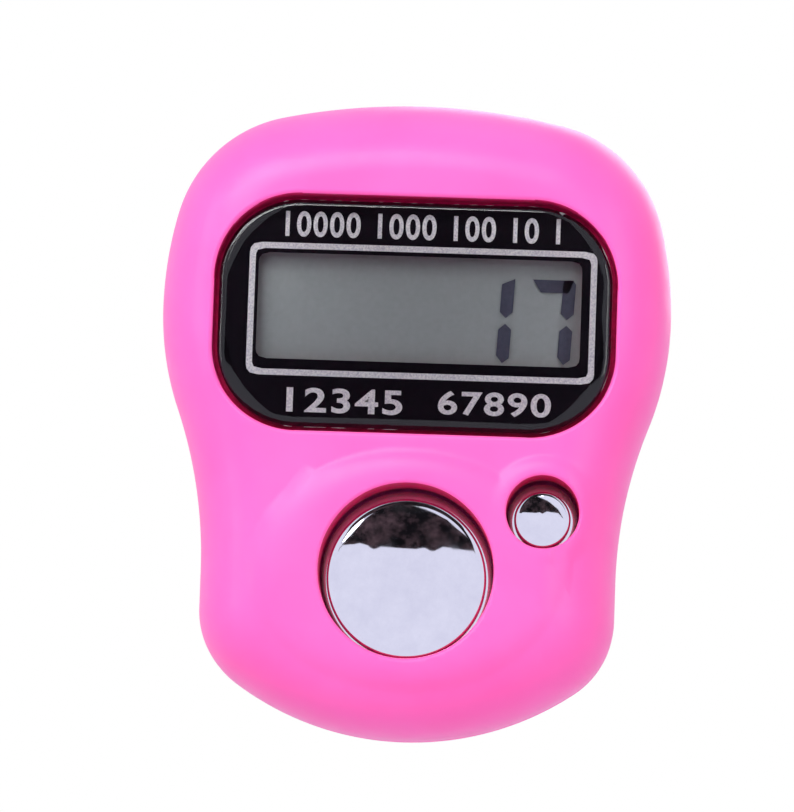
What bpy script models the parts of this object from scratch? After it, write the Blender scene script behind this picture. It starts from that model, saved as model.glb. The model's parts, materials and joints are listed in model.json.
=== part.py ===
"""Digital finger counter: an electronic tally counter worn on one finger, modelled piece by piece.

Metres, +Z up, face towards -Y. The origin is the centre of the closed finger band.
"""

import math

import bmesh
import bpy

MM = 0.001

# Case outline, seen from the front
CASE_HEIGHT = 40.0 * MM
HEAD_WIDTH = 32.0 * MM
WAIST_DEPTH = 3.0 * MM  # how far the waist draws in on each side
HEAD_Z = 6.8 * MM  # height of the widest place over the middle of the case
WAIST_Z = -9.8 * MM  # where the hollow flank turns into the straight waist
TOP_RADIUS = 40.0 * MM
SHOULDER_RADIUS = 8.6 * MM
HEAD_SIDE_RADIUS = 24.0 * MM
FLANK_RADIUS = 29.0 * MM
CHIN_CORNER_RADIUS = 5.5 * MM
CHIN_RADIUS = 18.5 * MM
LONGEST_CHORD = 3.0 * MM
WIDEST_TURN = math.radians(11.25)

# Case depth
BAND_BORE_RADIUS = 9.4 * MM
CASE_DEPTH = 12.0 * MM
FRONT_SHELL_DEPTH = 7.6 * MM
SEAM = 0.3 * MM
WALL = 1.5 * MM
SIDE_BAND = 1.0 * MM  # straight part of the front shell's side, next to the seam
FRONT_EDGE_INSET = 5.0 * MM  # how far in from the outline the flat face begins
FRONT_EDGE_POWER = 2.2
BACK_BAND = 0.5 * MM
BACK_EDGE_INSET = 4.4 * MM
BACK_EDGE_POWER = 2.6
EDGE_RINGS = 5
LIP_WALL = 0.8 * MM
LIP_ROOT = 1.4 * MM  # depth of the back shell's wall that the locating lip grows out of
BACK_Y = -BAND_BORE_RADIUS
FRONT_Y = BACK_Y - CASE_DEPTH
PARTING_Y = FRONT_Y + FRONT_SHELL_DEPTH
BACK_RIM_Y = PARTING_Y + SEAM

# Clearances
FIT_GAP = 0.3 * MM  # between pieces that slide, drop in or stand side by side
LAYER_GAP = 0.05 * MM  # between flat faces laid on each other
THREAD_GAP = 0.1 * MM  # between a screw and what its thread bites
OVERRUN = 1.0 * MM  # how far a cutter stands past what it cuts
BOSS_COVER = 0.2 * MM  # wall kept over the front end of a boss
SKIN_OVERLAP = 0.15 * MM  # how deep the edge of a collar starts in the skin it swells from

# Flats round a full turn
BORE_STEPS = 40
ROUND_STEPS = 32
BOSS_STEPS = 18
HOLE_STEPS = 12

# Display window
WINDOW_WIDTH = 24.4 * MM
WINDOW_HEIGHT = 14.2 * MM
WINDOW_RADIUS = 5.0 * MM
WINDOW_Z = 6.0 * MM
WINDOW_EDGE_THICKNESS = 1.1 * MM
WINDOW_CROWN = 0.55 * MM
WINDOW_CROWN_RINGS = 5
WINDOW_BACK_DEPTH = 1.85 * MM
TAPE_THICKNESS = 0.15 * MM
TAPE_MARGIN = 0.3 * MM
WINDOW_FRAME_WIDTH = 1.2 * MM
WINDOW_LEDGE_THICKNESS = 0.8 * MM
WINDOW_BLOCK_DEPTH = 1.35 * MM  # the moulding round the recess starts this deep, inside the skin

# Liquid crystal display
LCD_Z = 6.5 * MM  # middle of the digits
VIEW_WIDTH = 20.3 * MM
VIEW_HEIGHT = 6.8 * MM
LEDGE_MARGIN = 0.3 * MM
GLASS_WIDTH = 21.8 * MM
GLASS_ABOVE = 4.2 * MM
GLASS_BELOW = 5.4 * MM
CONTACT_LEDGE = 1.5 * MM
GLASS_THICKNESS = 0.7 * MM
POLARISER_THICKNESS = 0.2 * MM
POLARISER_INSET = 0.4 * MM
LCD_FRAME_WALL = 0.7 * MM
ZEBRA_LENGTH = 19.0 * MM
ZEBRA_THICKNESS = 0.9 * MM

# Circuit board
BOARD_THICKNESS = 0.8 * MM
BOARD_INSET = 2.1 * MM
BOARD_TOP_Z = 12.4 * MM
CHIP_RADIUS = 3.2 * MM
CHIP_HEIGHT = 1.1 * MM
CHIP_Z = -9.0 * MM
SMALL_PART_X = 5.6 * MM
SMALL_PART_LENGTH = 2.0 * MM
SMALL_PART_WIDTH = 1.2 * MM
CAPACITOR_HEIGHT = 1.0 * MM
RESISTOR_HEIGHT = 0.5 * MM

# Button cell and its contacts
CELL_RADIUS = 5.8 * MM
CELL_THICKNESS = 3.05 * MM
CELL_EDGE = 0.3 * MM
CELL_STEP_HEIGHT = 0.6 * MM
CELL_STEP_WIDTH = 0.6 * MM
CELL_Z = 2.8 * MM
CELL_DEPTH = 7.45 * MM
CELL_RING_WALL = 0.9 * MM
CONTACT_THICKNESS = 0.2 * MM
CONTACT_WIDTH = 3.0 * MM
CONTACT_FOOT = 2.0 * MM
CONTACT_BEND = 0.3 * MM

# Buttons
COUNT_Z = -9.9 * MM
COUNT_RADIUS = 4.95 * MM
COUNT_BORE_RADIUS = 5.4 * MM
COUNT_TOP_DEPTH = 1.55 * MM
COUNT_DOME_HEIGHT = 0.4 * MM
COUNT_SLEEVE_WALL = 1.0 * MM
COUNT_COLLAR_HALF_WIDTH = 9.8 * MM
COUNT_COLLAR_HALF_HEIGHT = 7.45 * MM
COUNT_COLLAR_RISE = 0.45 * MM
COUNT_PLATEAU_RADIUS = 2.6 * MM
COUNT_CONE_RADIUS = 3.6 * MM
COUNT_FOOT_RADIUS = 5.0 * MM
COUNT_PILL_RADIUS = 1.8 * MM
RESET_X = 8.3 * MM
RESET_Z = -6.0 * MM
RESET_RADIUS = 1.75 * MM
RESET_BORE_RADIUS = 2.25 * MM
RESET_TOP_DEPTH = 1.6 * MM
RESET_DOME_HEIGHT = 0.15 * MM
RESET_SLEEVE_WALL = 0.8 * MM
RESET_COLLAR_RADIUS = 3.5 * MM
RESET_COLLAR_RISE = 0.3 * MM
RESET_PLATEAU_RADIUS = 1.2 * MM
RESET_CONE_RADIUS = 1.7 * MM
RESET_FOOT_RADIUS = 2.5 * MM
RESET_PILL_RADIUS = 0.8 * MM
BUTTON_TRAVEL = 0.85 * MM
PRESS_GAP = 0.35 * MM  # left between a carbon pill and the board when its button is all the way in
SLEEVE_DEPTH = 3.0 * MM
BUTTON_SAG = 0.3 * MM  # the caps rest on soft domes and sit this much low in their bores
COLLAR_POWER = 4.0
COLLAR_RINGS = (0.97, 0.91, 0.84, 0.75, 0.64, 0.5)  # as shares of the collar's own size
FLANGE_STEP = 0.5 * MM
FLANGE_THICKNESS = 0.7 * MM
BUTTON_RINGS = 6
PILL_THICKNESS = 0.25 * MM
PLATEAU_THICKNESS = 0.4 * MM
WEB_THICKNESS = 0.35 * MM
DOME_FOOT_HEIGHT = 0.6 * MM

# Case screws
SCREW_TOP_X = 11.0 * MM
SCREW_TOP_Z = 14.2 * MM
SCREW_BOTTOM_X = 8.6 * MM
SCREW_BOTTOM_Z = -14.8 * MM
BOSS_RADIUS = 1.9 * MM
CASE_SCREW_SHAFT = 0.7 * MM
CASE_SCREW_HEAD = 1.35 * MM
CASE_SCREW_HEAD_HEIGHT = 0.8 * MM
CASE_SCREW_SINK = 1.5 * MM  # how deep the head's seat lies under the back
CASE_SCREW_LENGTH = 6.0 * MM

# Board screws
BOARD_SCREW_X = 10.2 * MM
BOARD_SCREW_Z = -1.3 * MM
POST_RADIUS = 1.4 * MM
BOARD_SCREW_SHAFT = 0.55 * MM
BOARD_SCREW_HEAD = 1.1 * MM
BOARD_SCREW_HEAD_HEIGHT = 0.6 * MM
BOARD_SCREW_LENGTH = 3.0 * MM

# Shape of a screw's head, as shares of its own radius and height
HEAD_CROWN = 0.6
HEAD_RIM = 0.45
CROSS_REACH = 0.55
CROSS_HALF_WIDTH = 0.14
CROSS_FLOOR = 0.35

# Battery door
DOOR_WIDTH = 14.6 * MM
DOOR_TOP_Z = 12.9 * MM
DOOR_BOTTOM_Z = -4.8 * MM
DOOR_RADIUS = 2.0 * MM
DOOR_THICKNESS = 1.1 * MM
DOOR_GAP = 0.2 * MM
DOOR_SEAT_THICKNESS = 0.8 * MM
DOOR_SEAT_WIDTH = 1.0 * MM
DOOR_TAB_WIDTH = 6.0 * MM
DOOR_TAB_LENGTH = 1.2 * MM
DOOR_TAB_THICKNESS = 0.5 * MM
DOOR_SCREW_Z = 10.9 * MM
DOOR_BOSS_RADIUS = 1.6 * MM
DOOR_SCREW_SINK = 0.65 * MM
DOOR_SCREW_LENGTH = 2.4 * MM

# Finger band
STRAP_WIDTH = 9.0 * MM
STRAP_THICKNESS = 1.1 * MM
STRAP_EDGE = 0.2 * MM  # the ribbon is this much narrower than its barrel, on each side
BARREL_RADIUS = 1.2 * MM
TRUNNION_RADIUS = 0.6 * MM
TRUNNION_LENGTH = 0.9 * MM
LUG_THICKNESS = 1.6 * MM
LUG_RADIUS = 1.7 * MM
PIVOT_X = 10.8 * MM
BARREL_LIFT = 0.4 * MM
STUD_HALF_END = math.radians(52)
HOLE_HALF_END = math.radians(146)
BAND_STEP = math.radians(9)
BAND_END_RADIUS = 3.4 * MM
HOLE_SPACING = math.radians(18)
HOLE_COUNT = 4
HOLES_BEFORE_STUD = 1
STUD_RADIUS = 0.75 * MM
STUD_HEAD_RADIUS = 1.35 * MM
STUD_HEAD_HEIGHT = 0.9 * MM
STUD_CROWN_RADIUS = 0.8 * MM
STUD_RIM_HEIGHT = 0.3 * MM

# Places worked out from the sizes above
WINDOW_BACK_Y = FRONT_Y + WINDOW_BACK_DEPTH
POCKET_FLOOR_Y = WINDOW_BACK_Y + TAPE_THICKNESS + 2 * LAYER_GAP
LEDGE_BACK_Y = POCKET_FLOOR_Y + WINDOW_LEDGE_THICKNESS
FRONT_GLASS_BACK_Y = LEDGE_BACK_Y + POLARISER_THICKNESS + GLASS_THICKNESS + 2 * LAYER_GAP
REFLECTOR_BACK_Y = FRONT_GLASS_BACK_Y + GLASS_THICKNESS + POLARISER_THICKNESS + 2 * LAYER_GAP
SLEEVE_END_Y = FRONT_Y + SLEEVE_DEPTH
FLANGE_Y = SLEEVE_END_Y + FIT_GAP
FLANGE_BACK_Y = FLANGE_Y + FLANGE_THICKNESS
PLATEAU_Y = FLANGE_BACK_Y + LAYER_GAP
PILL_Y = PLATEAU_Y + PLATEAU_THICKNESS + LAYER_GAP
BOARD_Y = PILL_Y + PILL_THICKNESS + BUTTON_TRAVEL + PRESS_GAP
BOARD_BACK_Y = BOARD_Y + BOARD_THICKNESS
CELL_Y = FRONT_Y + CELL_DEPTH
CELL_BACK_Y = CELL_Y + CELL_THICKNESS
DOOR_HEIGHT = DOOR_TOP_Z - DOOR_BOTTOM_Z
DOOR_Z = (DOOR_TOP_Z + DOOR_BOTTOM_Z) / 2
DOOR_Y = BACK_Y - DOOR_THICKNESS
DOOR_SEAT_Y = DOOR_Y - LAYER_GAP
DOOR_BOSS_Y = BACK_Y - DOOR_SCREW_SINK - DOOR_SCREW_LENGTH - 2 * FIT_GAP
PIVOT_Y = BACK_Y + BARREL_LIFT + BARREL_RADIUS
LUG_Z = STRAP_WIDTH / 2 + FIT_GAP + LUG_THICKNESS / 2
STUD_BAND_RADIUS = BAND_BORE_RADIUS + STRAP_THICKNESS / 2
HOLE_BAND_RADIUS = STUD_BAND_RADIUS + STRAP_THICKNESS + FIT_GAP


# Scene, collections and materials

for leftover in list(bpy.data.objects):
    bpy.data.objects.remove(leftover, do_unlink=True)

parts = bpy.data.collections.new("finger_counter")
cutters = bpy.data.collections.new("cutters")
for collection in (parts, cutters):
    bpy.context.scene.collection.children.link(collection)
cutters.hide_render = True


def material(name, colour, roughness, metallic=0.0, transmission=0.0):
    """A Principled material; the colour is linear."""
    made = bpy.data.materials.new(name)
    made.use_nodes = True
    shader = made.node_tree.nodes["Principled BSDF"]
    shader.inputs["Base Color"].default_value = (*colour, 1.0)
    shader.inputs["Roughness"].default_value = roughness
    shader.inputs["Metallic"].default_value = metallic
    shader.inputs["Transmission Weight"].default_value = transmission
    made.diffuse_color = (*colour, 1.0)
    return made


PINK_PLASTIC = material("pink_abs", (1.0, 0.17, 0.55), 0.32)
CHROME = material("chromed_plastic", (0.85, 0.86, 0.88), 0.05, metallic=1.0)
BLACK_LENS = material("black_backed_lens", (0.01, 0.01, 0.015), 0.08)
TAPE = material("foam_tape", (0.03, 0.03, 0.03), 0.8)
POLARISER = material("polariser_film", (0.2, 0.23, 0.21), 0.35)
GLASS = material("display_glass", (0.75, 0.8, 0.78), 0.05, transmission=0.9)
WHITE_PLASTIC = material("white_plastic", (0.8, 0.8, 0.78), 0.5)
ZEBRA_RUBBER = material("striped_rubber", (0.75, 0.3, 0.4), 0.7)
BOARD = material("green_fibre_board", (0.02, 0.16, 0.06), 0.45)
EPOXY = material("black_epoxy", (0.012, 0.012, 0.012), 0.35)
CERAMIC = material("brown_ceramic", (0.35, 0.22, 0.12), 0.5)
CONTACT = material("nickel_contact", (0.6, 0.57, 0.5), 0.3, metallic=1.0)
CELL = material("steel_cell_can", (0.62, 0.62, 0.6), 0.25, metallic=1.0)
SCREW_STEEL = material("screw_steel", (0.45, 0.45, 0.46), 0.35, metallic=1.0)
SILICONE = material("clear_silicone", (0.55, 0.57, 0.56), 0.5)
CARBON = material("carbon_rubber", (0.015, 0.015, 0.015), 0.7)
BLACK_STRAP = material("black_soft_plastic", (0.02, 0.02, 0.021), 0.5)


# Outlines, as lists of (x, z)


def arc(centre, radius, start, end):
    """Points from angle start to angle end, both included."""
    sweep = end - start
    pieces = math.ceil(max(abs(sweep) * radius / LONGEST_CHORD, abs(sweep) / WIDEST_TURN))
    turns = [start + sweep * n / pieces for n in range(pieces + 1)]
    return [(centre[0] + radius * math.cos(a), centre[1] + radius * math.sin(a)) for a in turns]


def bearing(start, end):
    return math.atan2(end[1] - start[1], end[0] - start[0])


def crossing(first, first_radius, second, second_radius):
    """The upper right point where two circles cross."""
    span = math.dist(first, second)
    along = (first_radius**2 - second_radius**2 + span**2) / (2 * span)
    aside = math.sqrt(first_radius**2 - along**2)
    turn = bearing(first, second)
    found = [
        (
            first[0] + along * math.cos(turn) - side * aside * math.sin(turn),
            first[1] + along * math.sin(turn) + side * aside * math.cos(turn),
        )
        for side in (-1, 1)
    ]
    return max(found, key=lambda point: point[0] + point[1])


def mirrored(right_half):
    """The closed outline whose right half runs from top middle to bottom middle."""
    left_half = [(-x, z) for x, z in reversed(right_half[1:-1])]
    return right_half + left_half


def case_outline():
    """Arcs that run into each other: crown, shoulder, head, flank, waist, corner and chin."""
    crown = (0.0, CASE_HEIGHT / 2 - TOP_RADIUS)
    head = (HEAD_WIDTH / 2 - HEAD_SIDE_RADIUS, HEAD_Z)
    shoulder = crossing(
        crown, TOP_RADIUS - SHOULDER_RADIUS, head, HEAD_SIDE_RADIUS - SHOULDER_RADIUS
    )
    waist = HEAD_WIDTH / 2 - WAIST_DEPTH
    flank = (waist + FLANK_RADIUS, WAIST_Z)
    reach = flank[0] - HEAD_WIDTH / 2
    drop = HEAD_Z - WAIST_Z
    cheek_radius = (reach**2 + drop**2 - FLANK_RADIUS**2) / (2 * (FLANK_RADIUS - reach))
    cheek = (HEAD_WIDTH / 2 - cheek_radius, HEAD_Z)
    chin = (0.0, CHIN_RADIUS - CASE_HEIGHT / 2)
    corner_x = waist - CHIN_CORNER_RADIUS
    corner = (corner_x, chin[1] - math.sqrt((CHIN_RADIUS - CHIN_CORNER_RADIUS) ** 2 - corner_x**2))
    top_turn = bearing(crown, shoulder)
    shoulder_turn = bearing(head, shoulder)
    cheek_turn = bearing(cheek, flank)
    corner_turn = bearing(chin, corner)
    right_half = (
        arc(crown, TOP_RADIUS, math.pi / 2, top_turn)[:-1]
        + arc(shoulder, SHOULDER_RADIUS, top_turn, shoulder_turn)[:-1]
        + arc(head, HEAD_SIDE_RADIUS, shoulder_turn, 0.0)[:-1]
        + arc(cheek, cheek_radius, 0.0, cheek_turn)[:-1]
        + arc(flank, FLANK_RADIUS, cheek_turn + math.pi, math.pi)
        + arc(corner, CHIN_CORNER_RADIUS, 0.0, corner_turn)[:-1]
        + arc(chin, CHIN_RADIUS, corner_turn, -math.pi / 2)
    )
    return mirrored(right_half)


def rounded_rectangle(width, height, radius, centre_z=0.0):
    across, up = width / 2 - radius, height / 2 - radius
    right_half = (
        [(0.0, centre_z + height / 2)]
        + arc((across, centre_z + up), radius, math.pi / 2, 0.0)
        + arc((across, centre_z - up), radius, 0.0, -math.pi / 2)
        + [(0.0, centre_z - height / 2)]
    )
    return mirrored(right_half)


def inset(outline, distance):
    """The outline moved inwards by a distance, square to each of its sides."""
    moved = []
    for before, here, after in zip(outline[-1:] + outline[:-1], outline, outline[1:] + outline[:1]):
        first, second = bearing(before, here), bearing(here, after)
        middle = first + math.remainder(second - first, math.tau) / 2
        length = distance / math.cos(middle - first)
        moved.append((here[0] + length * math.sin(middle), here[1] - length * math.cos(middle)))
    return moved


CASE_OUTLINE = case_outline()


def margin(x, z):
    """How far (x, z) lies inside the case's outline."""
    nearest = HEAD_WIDTH
    for (ax, az), (bx, bz) in zip(CASE_OUTLINE, CASE_OUTLINE[1:] + CASE_OUTLINE[:1]):
        along_x, along_z = bx - ax, bz - az
        share = ((x - ax) * along_x + (z - az) * along_z) / (along_x**2 + along_z**2)
        share = min(max(share, 0.0), 1.0)
        nearest = min(nearest, math.hypot(x - ax - share * along_x, z - az - share * along_z))
    return nearest


def front_skin(distance):
    """The y of the front shell's outer surface, this far inside the case's outline."""
    share = min(max(1 - distance / FRONT_EDGE_INSET, 0.0), 1.0)
    rise = FRONT_SHELL_DEPTH - SIDE_BAND
    return PARTING_Y - SIDE_BAND - rise * (1 - share**FRONT_EDGE_POWER) ** (1 / FRONT_EDGE_POWER)


# Objects


def add_object(name, bm, finish=None, smooth=False):
    """Turns a bmesh into an object: a part if it has a finish, a cutter if it has none."""
    bmesh.ops.recalc_face_normals(bm, faces=bm.faces)
    mesh = bpy.data.meshes.new(name)
    bm.to_mesh(mesh)
    bm.free()
    made = bpy.data.objects.new(name, mesh)
    place_object(made, finish)
    if smooth:
        mesh.shade_smooth()
        mesh.set_sharp_from_angle(angle=math.radians(35))
    return made


def place_object(made, finish):
    if finish is None:
        cutters.objects.link(made)
        made.hide_render = True
        made.display_type = "WIRE"
    else:
        parts.objects.link(made)
        made.data.materials.append(finish)


def combine(target, operation, *others):
    """One Boolean modifier that joins the others to the target, or cuts them out of it."""
    group = bpy.data.collections.new(f"{target.name}_{operation.lower()}")
    cutters.children.link(group)
    for other in others:
        cutters.objects.unlink(other)
        group.objects.link(other)
    boolean = target.modifiers.new(operation.lower(), "BOOLEAN")
    boolean.operation = operation
    boolean.solver = "EXACT"
    boolean.operand_type = "COLLECTION"
    boolean.collection = group


def section(outline, y, scale=1.0):
    """One ring of a loft: the outline at y."""
    return [(x * scale, y, z * scale) for x, z in outline]


def lofted(name, sections, finish=None, open_start=False, smooth=False):
    """A skin through rings of points that match one to one, closed at its ends."""
    bm = bmesh.new()
    rings = [[bm.verts.new(point) for point in ring] for ring in sections]
    for ring, following in zip(rings, rings[1:]):
        for n in range(len(ring)):
            bm.faces.new((ring[n - 1], ring[n], following[n], following[n - 1]))
    bm.faces.new(rings[-1])
    if not open_start:
        bm.faces.new(rings[0])
    return add_object(name, bm, finish, smooth)


def slab(name, outline, y_front, y_back, finish=None):
    return lofted(name, [section(outline, y_front), section(outline, y_back)], finish)


def block(name, low, high, finish=None):
    """A box between two corners."""
    bm = bmesh.new()
    bmesh.ops.create_cube(bm, size=1.0)
    size = [b - a for a, b in zip(low, high)]
    middle = [(a + b) / 2 for a, b in zip(low, high)]
    bmesh.ops.scale(bm, vec=size, verts=bm.verts)
    bmesh.ops.translate(bm, vec=middle, verts=bm.verts)
    return add_object(name, bm, finish)


def turned(name, profile, location, rotation, finish=None, steps=ROUND_STEPS):
    """A profile of (radius, height), outer side from top to bottom, turned about local Z."""
    bm = bmesh.new()
    points = [bm.verts.new((radius, 0.0, height)) for radius, height in profile]
    for start, end in zip(points, points[1:]):
        bm.edges.new((start, end))
    mesh = bpy.data.meshes.new(name)
    bm.to_mesh(mesh)
    bm.free()
    made = bpy.data.objects.new(name, mesh)
    place_object(made, finish)
    made.location = location
    made.rotation_euler = rotation
    screw = made.modifiers.new("turn", "SCREW")
    screw.steps = steps
    screw.render_steps = steps
    screw.use_merge_vertices = True
    screw.merge_threshold = 0.00001
    screw.use_smooth_shade = True
    return made


TO_FRONT = (math.radians(90), 0.0, 0.0)  # turns local Z to the front of the case
TO_BACK = (math.radians(-90), 0.0, 0.0)
UPRIGHT = (0.0, 0.0, 0.0)


def cylinder(name, x, z, radius, y_front, y_back, steps=ROUND_STEPS):
    """A helper cylinder along Y."""
    half = (y_back - y_front) / 2
    profile = [(0.0, half), (radius, half), (radius, -half), (0.0, -half)]
    return turned(name, profile, (x, (y_front + y_back) / 2, z), TO_FRONT, steps=steps)


def cap_profile(radius, height, top, pieces):
    """Points down a spherical cap of this radius and height, from its top to its edge."""
    sphere = (radius**2 + height**2) / (2 * height)
    half_angle = math.asin(radius / sphere)
    turns = [half_angle * n / pieces for n in range(pieces + 1)]
    return [(sphere * math.sin(a), top - sphere * (1 - math.cos(a))) for a in turns]


def ribbon(name, points, thickness, width, finish=None, end_radius=0.0, offset=0.0):
    """Sheet metal or band along points (x, y), with its width along Z."""
    bm = bmesh.new()
    line = [bm.verts.new((x, y, -width / 2)) for x, y in points]
    edges = [bm.edges.new(pair) for pair in zip(line, line[1:])]
    made = bmesh.ops.extrude_edge_only(bm, edges=edges)["geom"]
    raised = [item for item in made if isinstance(item, bmesh.types.BMVert)]
    bmesh.ops.translate(bm, vec=(0.0, 0.0, width), verts=raised)
    if end_radius:
        bm.verts.ensure_lookup_table()
        tip = [vert for vert in bm.verts if math.dist(vert.co.xy, points[-1]) < LAYER_GAP]
        bmesh.ops.bevel(bm, geom=tip, affect="VERTICES", offset=end_radius, segments=4, profile=0.5)
    made_object = add_object(name, bm, finish)
    wall = made_object.modifiers.new("thickness", "SOLIDIFY")
    wall.thickness = thickness
    wall.offset = offset
    wall.use_even_offset = True
    return made_object


# Case shells


def edge_turns(pieces):
    """Angles round a rounded edge, from its side to its face."""
    return [math.pi / 2 * n / pieces for n in range(1, pieces + 1)]


def shell(name, rim_y, band_y, face_y, edge_inset, power):
    """An open dish: a straight band at its rim, then a rounded edge, then a flat face."""
    sections = [section(CASE_OUTLINE, rim_y), section(CASE_OUTLINE, band_y)]
    for turn in edge_turns(EDGE_RINGS):
        drawn_in = edge_inset * (1 - math.cos(turn) ** (2 / power))
        rise = (face_y - band_y) * math.sin(turn) ** (2 / power)
        sections.append(section(inset(CASE_OUTLINE, drawn_in), band_y + rise))
    made = lofted(name, sections, PINK_PLASTIC, open_start=True, smooth=True)
    wall = made.modifiers.new("wall", "SOLIDIFY")
    wall.thickness = WALL
    wall.offset = -1.0
    wall.use_even_offset = True
    return made


def window_outline(growth):
    """The window's outline, larger by growth on every side."""
    return rounded_rectangle(
        WINDOW_WIDTH + 2 * growth, WINDOW_HEIGHT + 2 * growth, WINDOW_RADIUS + growth, WINDOW_Z
    )


SCREW_PLACES = {
    "top_left": (-SCREW_TOP_X, SCREW_TOP_Z),
    "top_right": (SCREW_TOP_X, SCREW_TOP_Z),
    "bottom_left": (-SCREW_BOTTOM_X, SCREW_BOTTOM_Z),
    "bottom_right": (SCREW_BOTTOM_X, SCREW_BOTTOM_Z),
}


def front_boss(name, x, z, radius, y_end, steps=BOSS_STEPS):
    """A boss from inside the front shell's skin back to y_end."""
    start = front_skin(margin(x, z) - radius) + BOSS_COVER
    return cylinder(name, x, z, radius, start, y_end, steps)


def collar(name, x, z, half_width, half_height, rise):
    """A low oval swelling of the front shell's skin, steepest at its own edge."""
    turns = [math.tau * (n + 0.5) / ROUND_STEPS for n in range(ROUND_STEPS)]
    oval = [(half_width * math.cos(turn), half_height * math.sin(turn)) for turn in turns]
    edge_y = max(front_skin(margin(x + across, z + up)) for across, up in oval)
    root_y = max(FRONT_Y + WALL + BOSS_COVER, edge_y + 2 * SKIN_OVERLAP)
    rings = [[(x + across, root_y, z + up) for across, up in oval]]
    heights = [(1.0, -SKIN_OVERLAP)]
    heights += [(share, rise * (1 - share**COLLAR_POWER)) for share in COLLAR_RINGS]
    for share, height in heights:
        places = [(x + share * across, z + share * up) for across, up in oval]
        rings.append([(px, front_skin(margin(px, pz)) - height, pz) for px, pz in places])
    return lofted(name, rings)


def make_front_shell():
    band_y = PARTING_Y - SIDE_BAND
    made = shell("front_shell", PARTING_Y, band_y, FRONT_Y, FRONT_EDGE_INSET, FRONT_EDGE_POWER)
    frame = slab(
        "window_moulding",
        window_outline(FIT_GAP + WINDOW_FRAME_WIDTH),
        FRONT_Y + WINDOW_BLOCK_DEPTH,
        LEDGE_BACK_Y,
    )
    count_sleeve = COUNT_BORE_RADIUS + COUNT_SLEEVE_WALL
    reset_sleeve = RESET_BORE_RADIUS + RESET_SLEEVE_WALL
    bore_mouth = FRONT_Y - OVERRUN
    additions = [
        frame,
        collar(
            "count_collar",
            0.0,
            COUNT_Z,
            COUNT_COLLAR_HALF_WIDTH,
            COUNT_COLLAR_HALF_HEIGHT,
            COUNT_COLLAR_RISE,
        ),
        collar(
            "reset_collar",
            RESET_X,
            RESET_Z,
            RESET_COLLAR_RADIUS,
            RESET_COLLAR_RADIUS,
            RESET_COLLAR_RISE,
        ),
        front_boss("count_sleeve", 0.0, COUNT_Z, count_sleeve, SLEEVE_END_Y, ROUND_STEPS),
        front_boss("reset_sleeve", RESET_X, RESET_Z, reset_sleeve, SLEEVE_END_Y, ROUND_STEPS),
    ]
    holes = [
        slab("window_pocket", window_outline(FIT_GAP), FRONT_Y - OVERRUN, POCKET_FLOOR_Y),
        slab(
            "window_opening",
            rounded_rectangle(
                VIEW_WIDTH + 2 * LEDGE_MARGIN, VIEW_HEIGHT + 2 * LEDGE_MARGIN, LEDGE_MARGIN, LCD_Z
            ),
            FRONT_Y,
            LEDGE_BACK_Y + OVERRUN,
        ),
        cylinder("count_bore", 0.0, COUNT_Z, COUNT_BORE_RADIUS, bore_mouth, FLANGE_Y, BORE_STEPS),
        cylinder("reset_bore", RESET_X, RESET_Z, RESET_BORE_RADIUS, bore_mouth, FLANGE_Y),
    ]
    for place, (x, z) in SCREW_PLACES.items():
        additions.append(front_boss(f"boss_{place}", x, z, BOSS_RADIUS, PARTING_Y))
        tip = BACK_Y - CASE_SCREW_SINK - CASE_SCREW_LENGTH - FIT_GAP
        radius = CASE_SCREW_SHAFT + THREAD_GAP
        mouth = PARTING_Y + SEAM
        holes.append(cylinder(f"boss_hole_{place}", x, z, radius, tip, mouth, HOLE_STEPS))
    for side, x in (("left", -BOARD_SCREW_X), ("right", BOARD_SCREW_X)):
        seat = BOARD_Y - LAYER_GAP
        additions.append(front_boss(f"post_{side}", x, BOARD_SCREW_Z, POST_RADIUS, seat))
        tip = BOARD_BACK_Y - BOARD_SCREW_LENGTH - FIT_GAP
        radius = BOARD_SCREW_SHAFT + THREAD_GAP
        holes.append(cylinder(f"post_hole_{side}", x, BOARD_SCREW_Z, radius, tip, BOARD_Y, HOLE_STEPS))
    combine(made, "UNION", *additions)
    combine(made, "DIFFERENCE", *holes)


def door_outline(growth):
    return rounded_rectangle(
        DOOR_WIDTH + 2 * growth, DOOR_HEIGHT + 2 * growth, DOOR_RADIUS + growth, DOOR_Z
    )


def lug(name, x, z):
    """An ear on the back shell that holds one end of a band half's barrel."""
    root_y = BACK_Y - WALL
    half = LUG_THICKNESS / 2
    ear = block(name, (x - LUG_RADIUS, root_y, z - half), (x + LUG_RADIUS, PIVOT_Y, z + half))
    profile = [(0.0, half), (LUG_RADIUS, half), (LUG_RADIUS, -half), (0.0, -half)]
    round_end = turned(f"{name}_end", profile, (x, PIVOT_Y, z), UPRIGHT, steps=BOSS_STEPS)
    return ear, round_end


def make_locating_lip():
    """A ring that stands inside the front shell's wall and grows out of the back shell's."""
    slim, root = inset(CASE_OUTLINE, WALL + FIT_GAP), inset(CASE_OUTLINE, WALL / 2)
    inner = inset(CASE_OUTLINE, WALL + FIT_GAP + LIP_WALL)
    top, bottom = BOARD_BACK_Y + FIT_GAP, BACK_RIM_Y + LIP_ROOT
    middle = (BACK_RIM_Y + bottom) / 2
    made = lofted(
        "locating_lip",
        [section(slim, top), section(slim, BACK_RIM_Y), section(root, middle), section(root, bottom)],
    )
    reach = BOSS_RADIUS + FIT_GAP
    notches = [
        cylinder(f"lip_notch_{place}", x, z, reach, top - OVERRUN, BACK_RIM_Y, BOSS_STEPS)
        for place, (x, z) in SCREW_PLACES.items()
    ]
    combine(made, "DIFFERENCE", slab("lip_bore", inner, top - OVERRUN, bottom + OVERRUN), *notches)
    return made


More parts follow.
